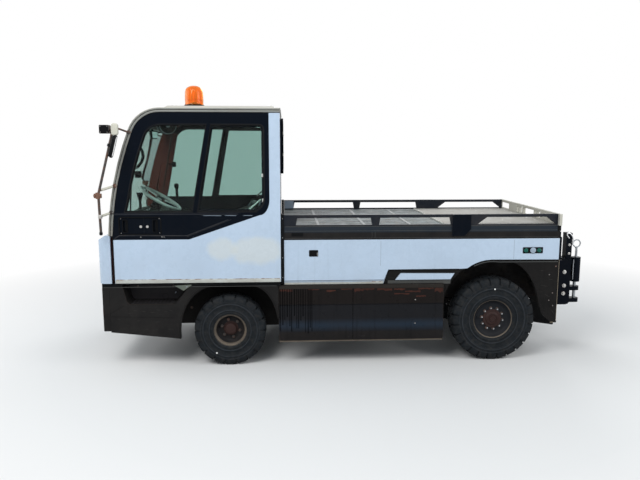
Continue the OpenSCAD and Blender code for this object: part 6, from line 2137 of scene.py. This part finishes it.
class TugSize(bpy.types.PropertyGroup):
    """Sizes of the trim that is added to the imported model."""

    edge: FloatProperty(name="Sheet edge", description="Rounding of the sheet metal's edges", unit="LENGTH",
                        min=0.0005, max=0.006, default=0.0025)
    front_lugs: IntProperty(name="Front lugs", description="Tread blocks in a row of a front tyre", min=12,
                            max=28, default=18)
    rear_lugs: IntProperty(name="Rear lugs", description="Tread blocks in a row of a rear tyre", min=14,
                           max=32, default=24)


class TugStage(bpy.types.PropertyGroup):
    """Light and camera."""

    sky: FloatProperty(name="Sky light", description="Strength of the even light from all sides", min=0,
                       max=3, default=0.55)
    key: FloatProperty(name="Key lamp", description="Power of the main lamp in watts", min=0, max=2000,
                       default=290)
    fill: FloatProperty(name="Rear lamp", description="Power of the lamp behind in watts", min=0, max=2000,
                        default=120)
    back: FloatProperty(name="Far lamp", description="Power of the far side's lamp in watts", min=0,
                        max=2000, default=130)
    front: FloatProperty(name="Front lamp", description="Power of the lamp in front in watts", min=0,
                         max=2000, default=90)
    camera: FloatVectorProperty(name="Camera place", description="Where the photograph was taken from",
                                subtype="TRANSLATION", unit="LENGTH", size=3, default=(0.719, 6.274, 1.98))
    yaw: FloatProperty(name="Yaw", description="Turn of the camera from square on", subtype="ANGLE",
                       unit="ROTATION", default=radians(-3.2))
    pitch: FloatProperty(name="Pitch", description="Tilt of the camera downwards", subtype="ANGLE",
                         unit="ROTATION", default=radians(8.67))
    roll: FloatProperty(name="Roll", description="Turn of the camera about its view", subtype="ANGLE",
                        unit="ROTATION", default=radians(0.08))
    focal_pixels: FloatProperty(name="Focal length",
                                description="Focal length in pixels of a 640 pixel wide frame", min=100,
                                max=3000, default=627)


# Operators
class TUG_OT_frame(bpy.types.Operator):
    """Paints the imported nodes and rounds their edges"""

    bl_idname = "tug.frame"
    bl_label = "Finish packed nodes"

    def execute(self, context):
        dress_frame(context.scene.tug_size.edge)
        return {"FINISHED"}


class TUG_OT_tyres(bpy.types.Operator):
    """Builds the four tyres with their tread"""

    bl_idname = "tug.tyres"
    bl_label = "Tyres"

    def execute(self, context):
        make_tyres(context.scene.tug_size)
        return {"FINISHED"}


class TUG_OT_rims(bpy.types.Operator):
    """Builds the four rims with hubs and nuts"""

    bl_idname = "tug.rims"
    bl_label = "Rims"

    def execute(self, context):
        make_rims()
        return {"FINISHED"}


class TUG_OT_doors(bpy.types.Operator):
    """Adds gaskets, belt panels, handles, seals and linings of both doors"""

    bl_idname = "tug.doors"
    bl_label = "Door trim"

    def execute(self, context):
        make_doors()
        return {"FINISHED"}


class TUG_OT_roof(bpy.types.Operator):
    """Adds the drip gutters and the roof's ribs"""

    bl_idname = "tug.roof"
    bl_label = "Roof trim"

    def execute(self, context):
        make_roof()
        return {"FINISHED"}


class TUG_OT_beacon(bpy.types.Operator):
    """Builds the amber beacon on the roof"""

    bl_idname = "tug.beacon"
    bl_label = "Beacon"

    def execute(self, context):
        make_beacon()
        return {"FINISHED"}


class TUG_OT_mirrors(bpy.types.Operator):
    """Builds mirror shells, clamps and the small top box"""

    bl_idname = "tug.mirrors"
    bl_label = "Mirrors"

    def execute(self, context):
        make_mirrors()
        return {"FINISHED"}


class TUG_OT_platform(bpy.types.Operator):
    """Adds strips, latches, markers, edges and deck fittings of the platform"""

    bl_idname = "tug.platform"
    bl_label = "Platform trim"

    def execute(self, context):
        make_platform()
        return {"FINISHED"}


class TUG_OT_skirts(bpy.types.Operator):
    """Adds flanges, folds, scrapes and fasteners of the black lower panels"""

    bl_idname = "tug.skirts"
    bl_label = "Skirts and sills"

    def execute(self, context):
        make_skirts()
        return {"FINISHED"}


class TUG_OT_coupling(bpy.types.Operator):
    """Adds the coupling's bolts, bars and the pin with its pull ring"""

    bl_idname = "tug.coupling"
    bl_label = "Tow coupling"

    def execute(self, context):
        make_coupling()
        return {"FINISHED"}


class TUG_OT_steering(bpy.types.Operator):
    """Builds the steering wheel with its hub"""

    bl_idname = "tug.steering"
    bl_label = "Steering wheel"

    def execute(self, context):
        make_steering()
        return {"FINISHED"}


class TUG_OT_dash(bpy.types.Operator):
    """Builds gauges, switches, levers, fan, handles and floor mats"""

    bl_idname = "tug.dash"
    bl_label = "Dash and fittings"

    def execute(self, context):
        make_dash()
        return {"FINISHED"}


class TUG_OT_seats(bpy.types.Operator):
    """Builds the padded seats and their box"""

    bl_idname = "tug.seats"
    bl_label = "Seats"

    def execute(self, context):
        make_seats()
        return {"FINISHED"}


class TUG_OT_lamps(bpy.types.Operator):
    """Builds headlamps, tail lamps and the window surrounds"""

    bl_idname = "tug.lamps"
    bl_label = "Lamps and windows"

    def execute(self, context):
        make_lamps()
        return {"FINISHED"}


class TUG_OT_underside(bpy.types.Operator):
    """Adds the shaft, spring clips and dark splash plates, which also stand in for the shade below"""

    bl_idname = "tug.underside"
    bl_label = "Underside"

    def execute(self, context):
        make_underside()
        return {"FINISHED"}


class TUG_OT_stage(bpy.types.Operator):
    """Builds the floor, the light and the camera"""

    bl_idname = "tug.stage"
    bl_label = "Stage"

    def execute(self, context):
        make_stage(context.scene.tug_stage)
        return {"FINISHED"}


class TUG_PT_panel(bpy.types.Panel):
    """Lists the sizes, the colours and every step of the tug."""

    bl_idname = "TUG_PT_panel"
    bl_label = "Baggage Tug"
    bl_space_type = "VIEW_3D"
    bl_region_type = "UI"
    bl_category = "Baggage Tug"

    def draw(self, context):
        for settings in (context.scene.tug_paint, context.scene.tug_size, context.scene.tug_stage):
            column = self.layout.column(align=True)
            for key in settings.__annotations__:
                column.prop(settings, key)
        column = self.layout.column()
        for step in STEPS:
            column.operator(step.bl_idname)


STEPS = (
    TUG_OT_frame,
    TUG_OT_tyres,
    TUG_OT_rims,
    TUG_OT_doors,
    TUG_OT_roof,
    TUG_OT_beacon,
    TUG_OT_mirrors,
    TUG_OT_platform,
    TUG_OT_skirts,
    TUG_OT_coupling,
    TUG_OT_steering,
    TUG_OT_dash,
    TUG_OT_seats,
    TUG_OT_lamps,
    TUG_OT_underside,
    TUG_OT_stage,
)
CLASSES = (TugPaint, TugSize, TugStage, *STEPS, TUG_PT_panel)


def register():
    for cls in CLASSES:
        bpy.utils.register_class(cls)
    bpy.types.Scene.tug_paint = PointerProperty(type=TugPaint)
    bpy.types.Scene.tug_size = PointerProperty(type=TugSize)
    bpy.types.Scene.tug_stage = PointerProperty(type=TugStage)


def unregister():
    del bpy.types.Scene.tug_paint, bpy.types.Scene.tug_size, bpy.types.Scene.tug_stage
    for cls in reversed(CLASSES):
        bpy.utils.unregister_class(cls)


def main():
    """Registers the add-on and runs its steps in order."""
    register()
    for step in STEPS:
        group, name = step.bl_idname.split(".")
        getattr(getattr(bpy.ops, group), name)()


if __name__ == "__main__":
    main()
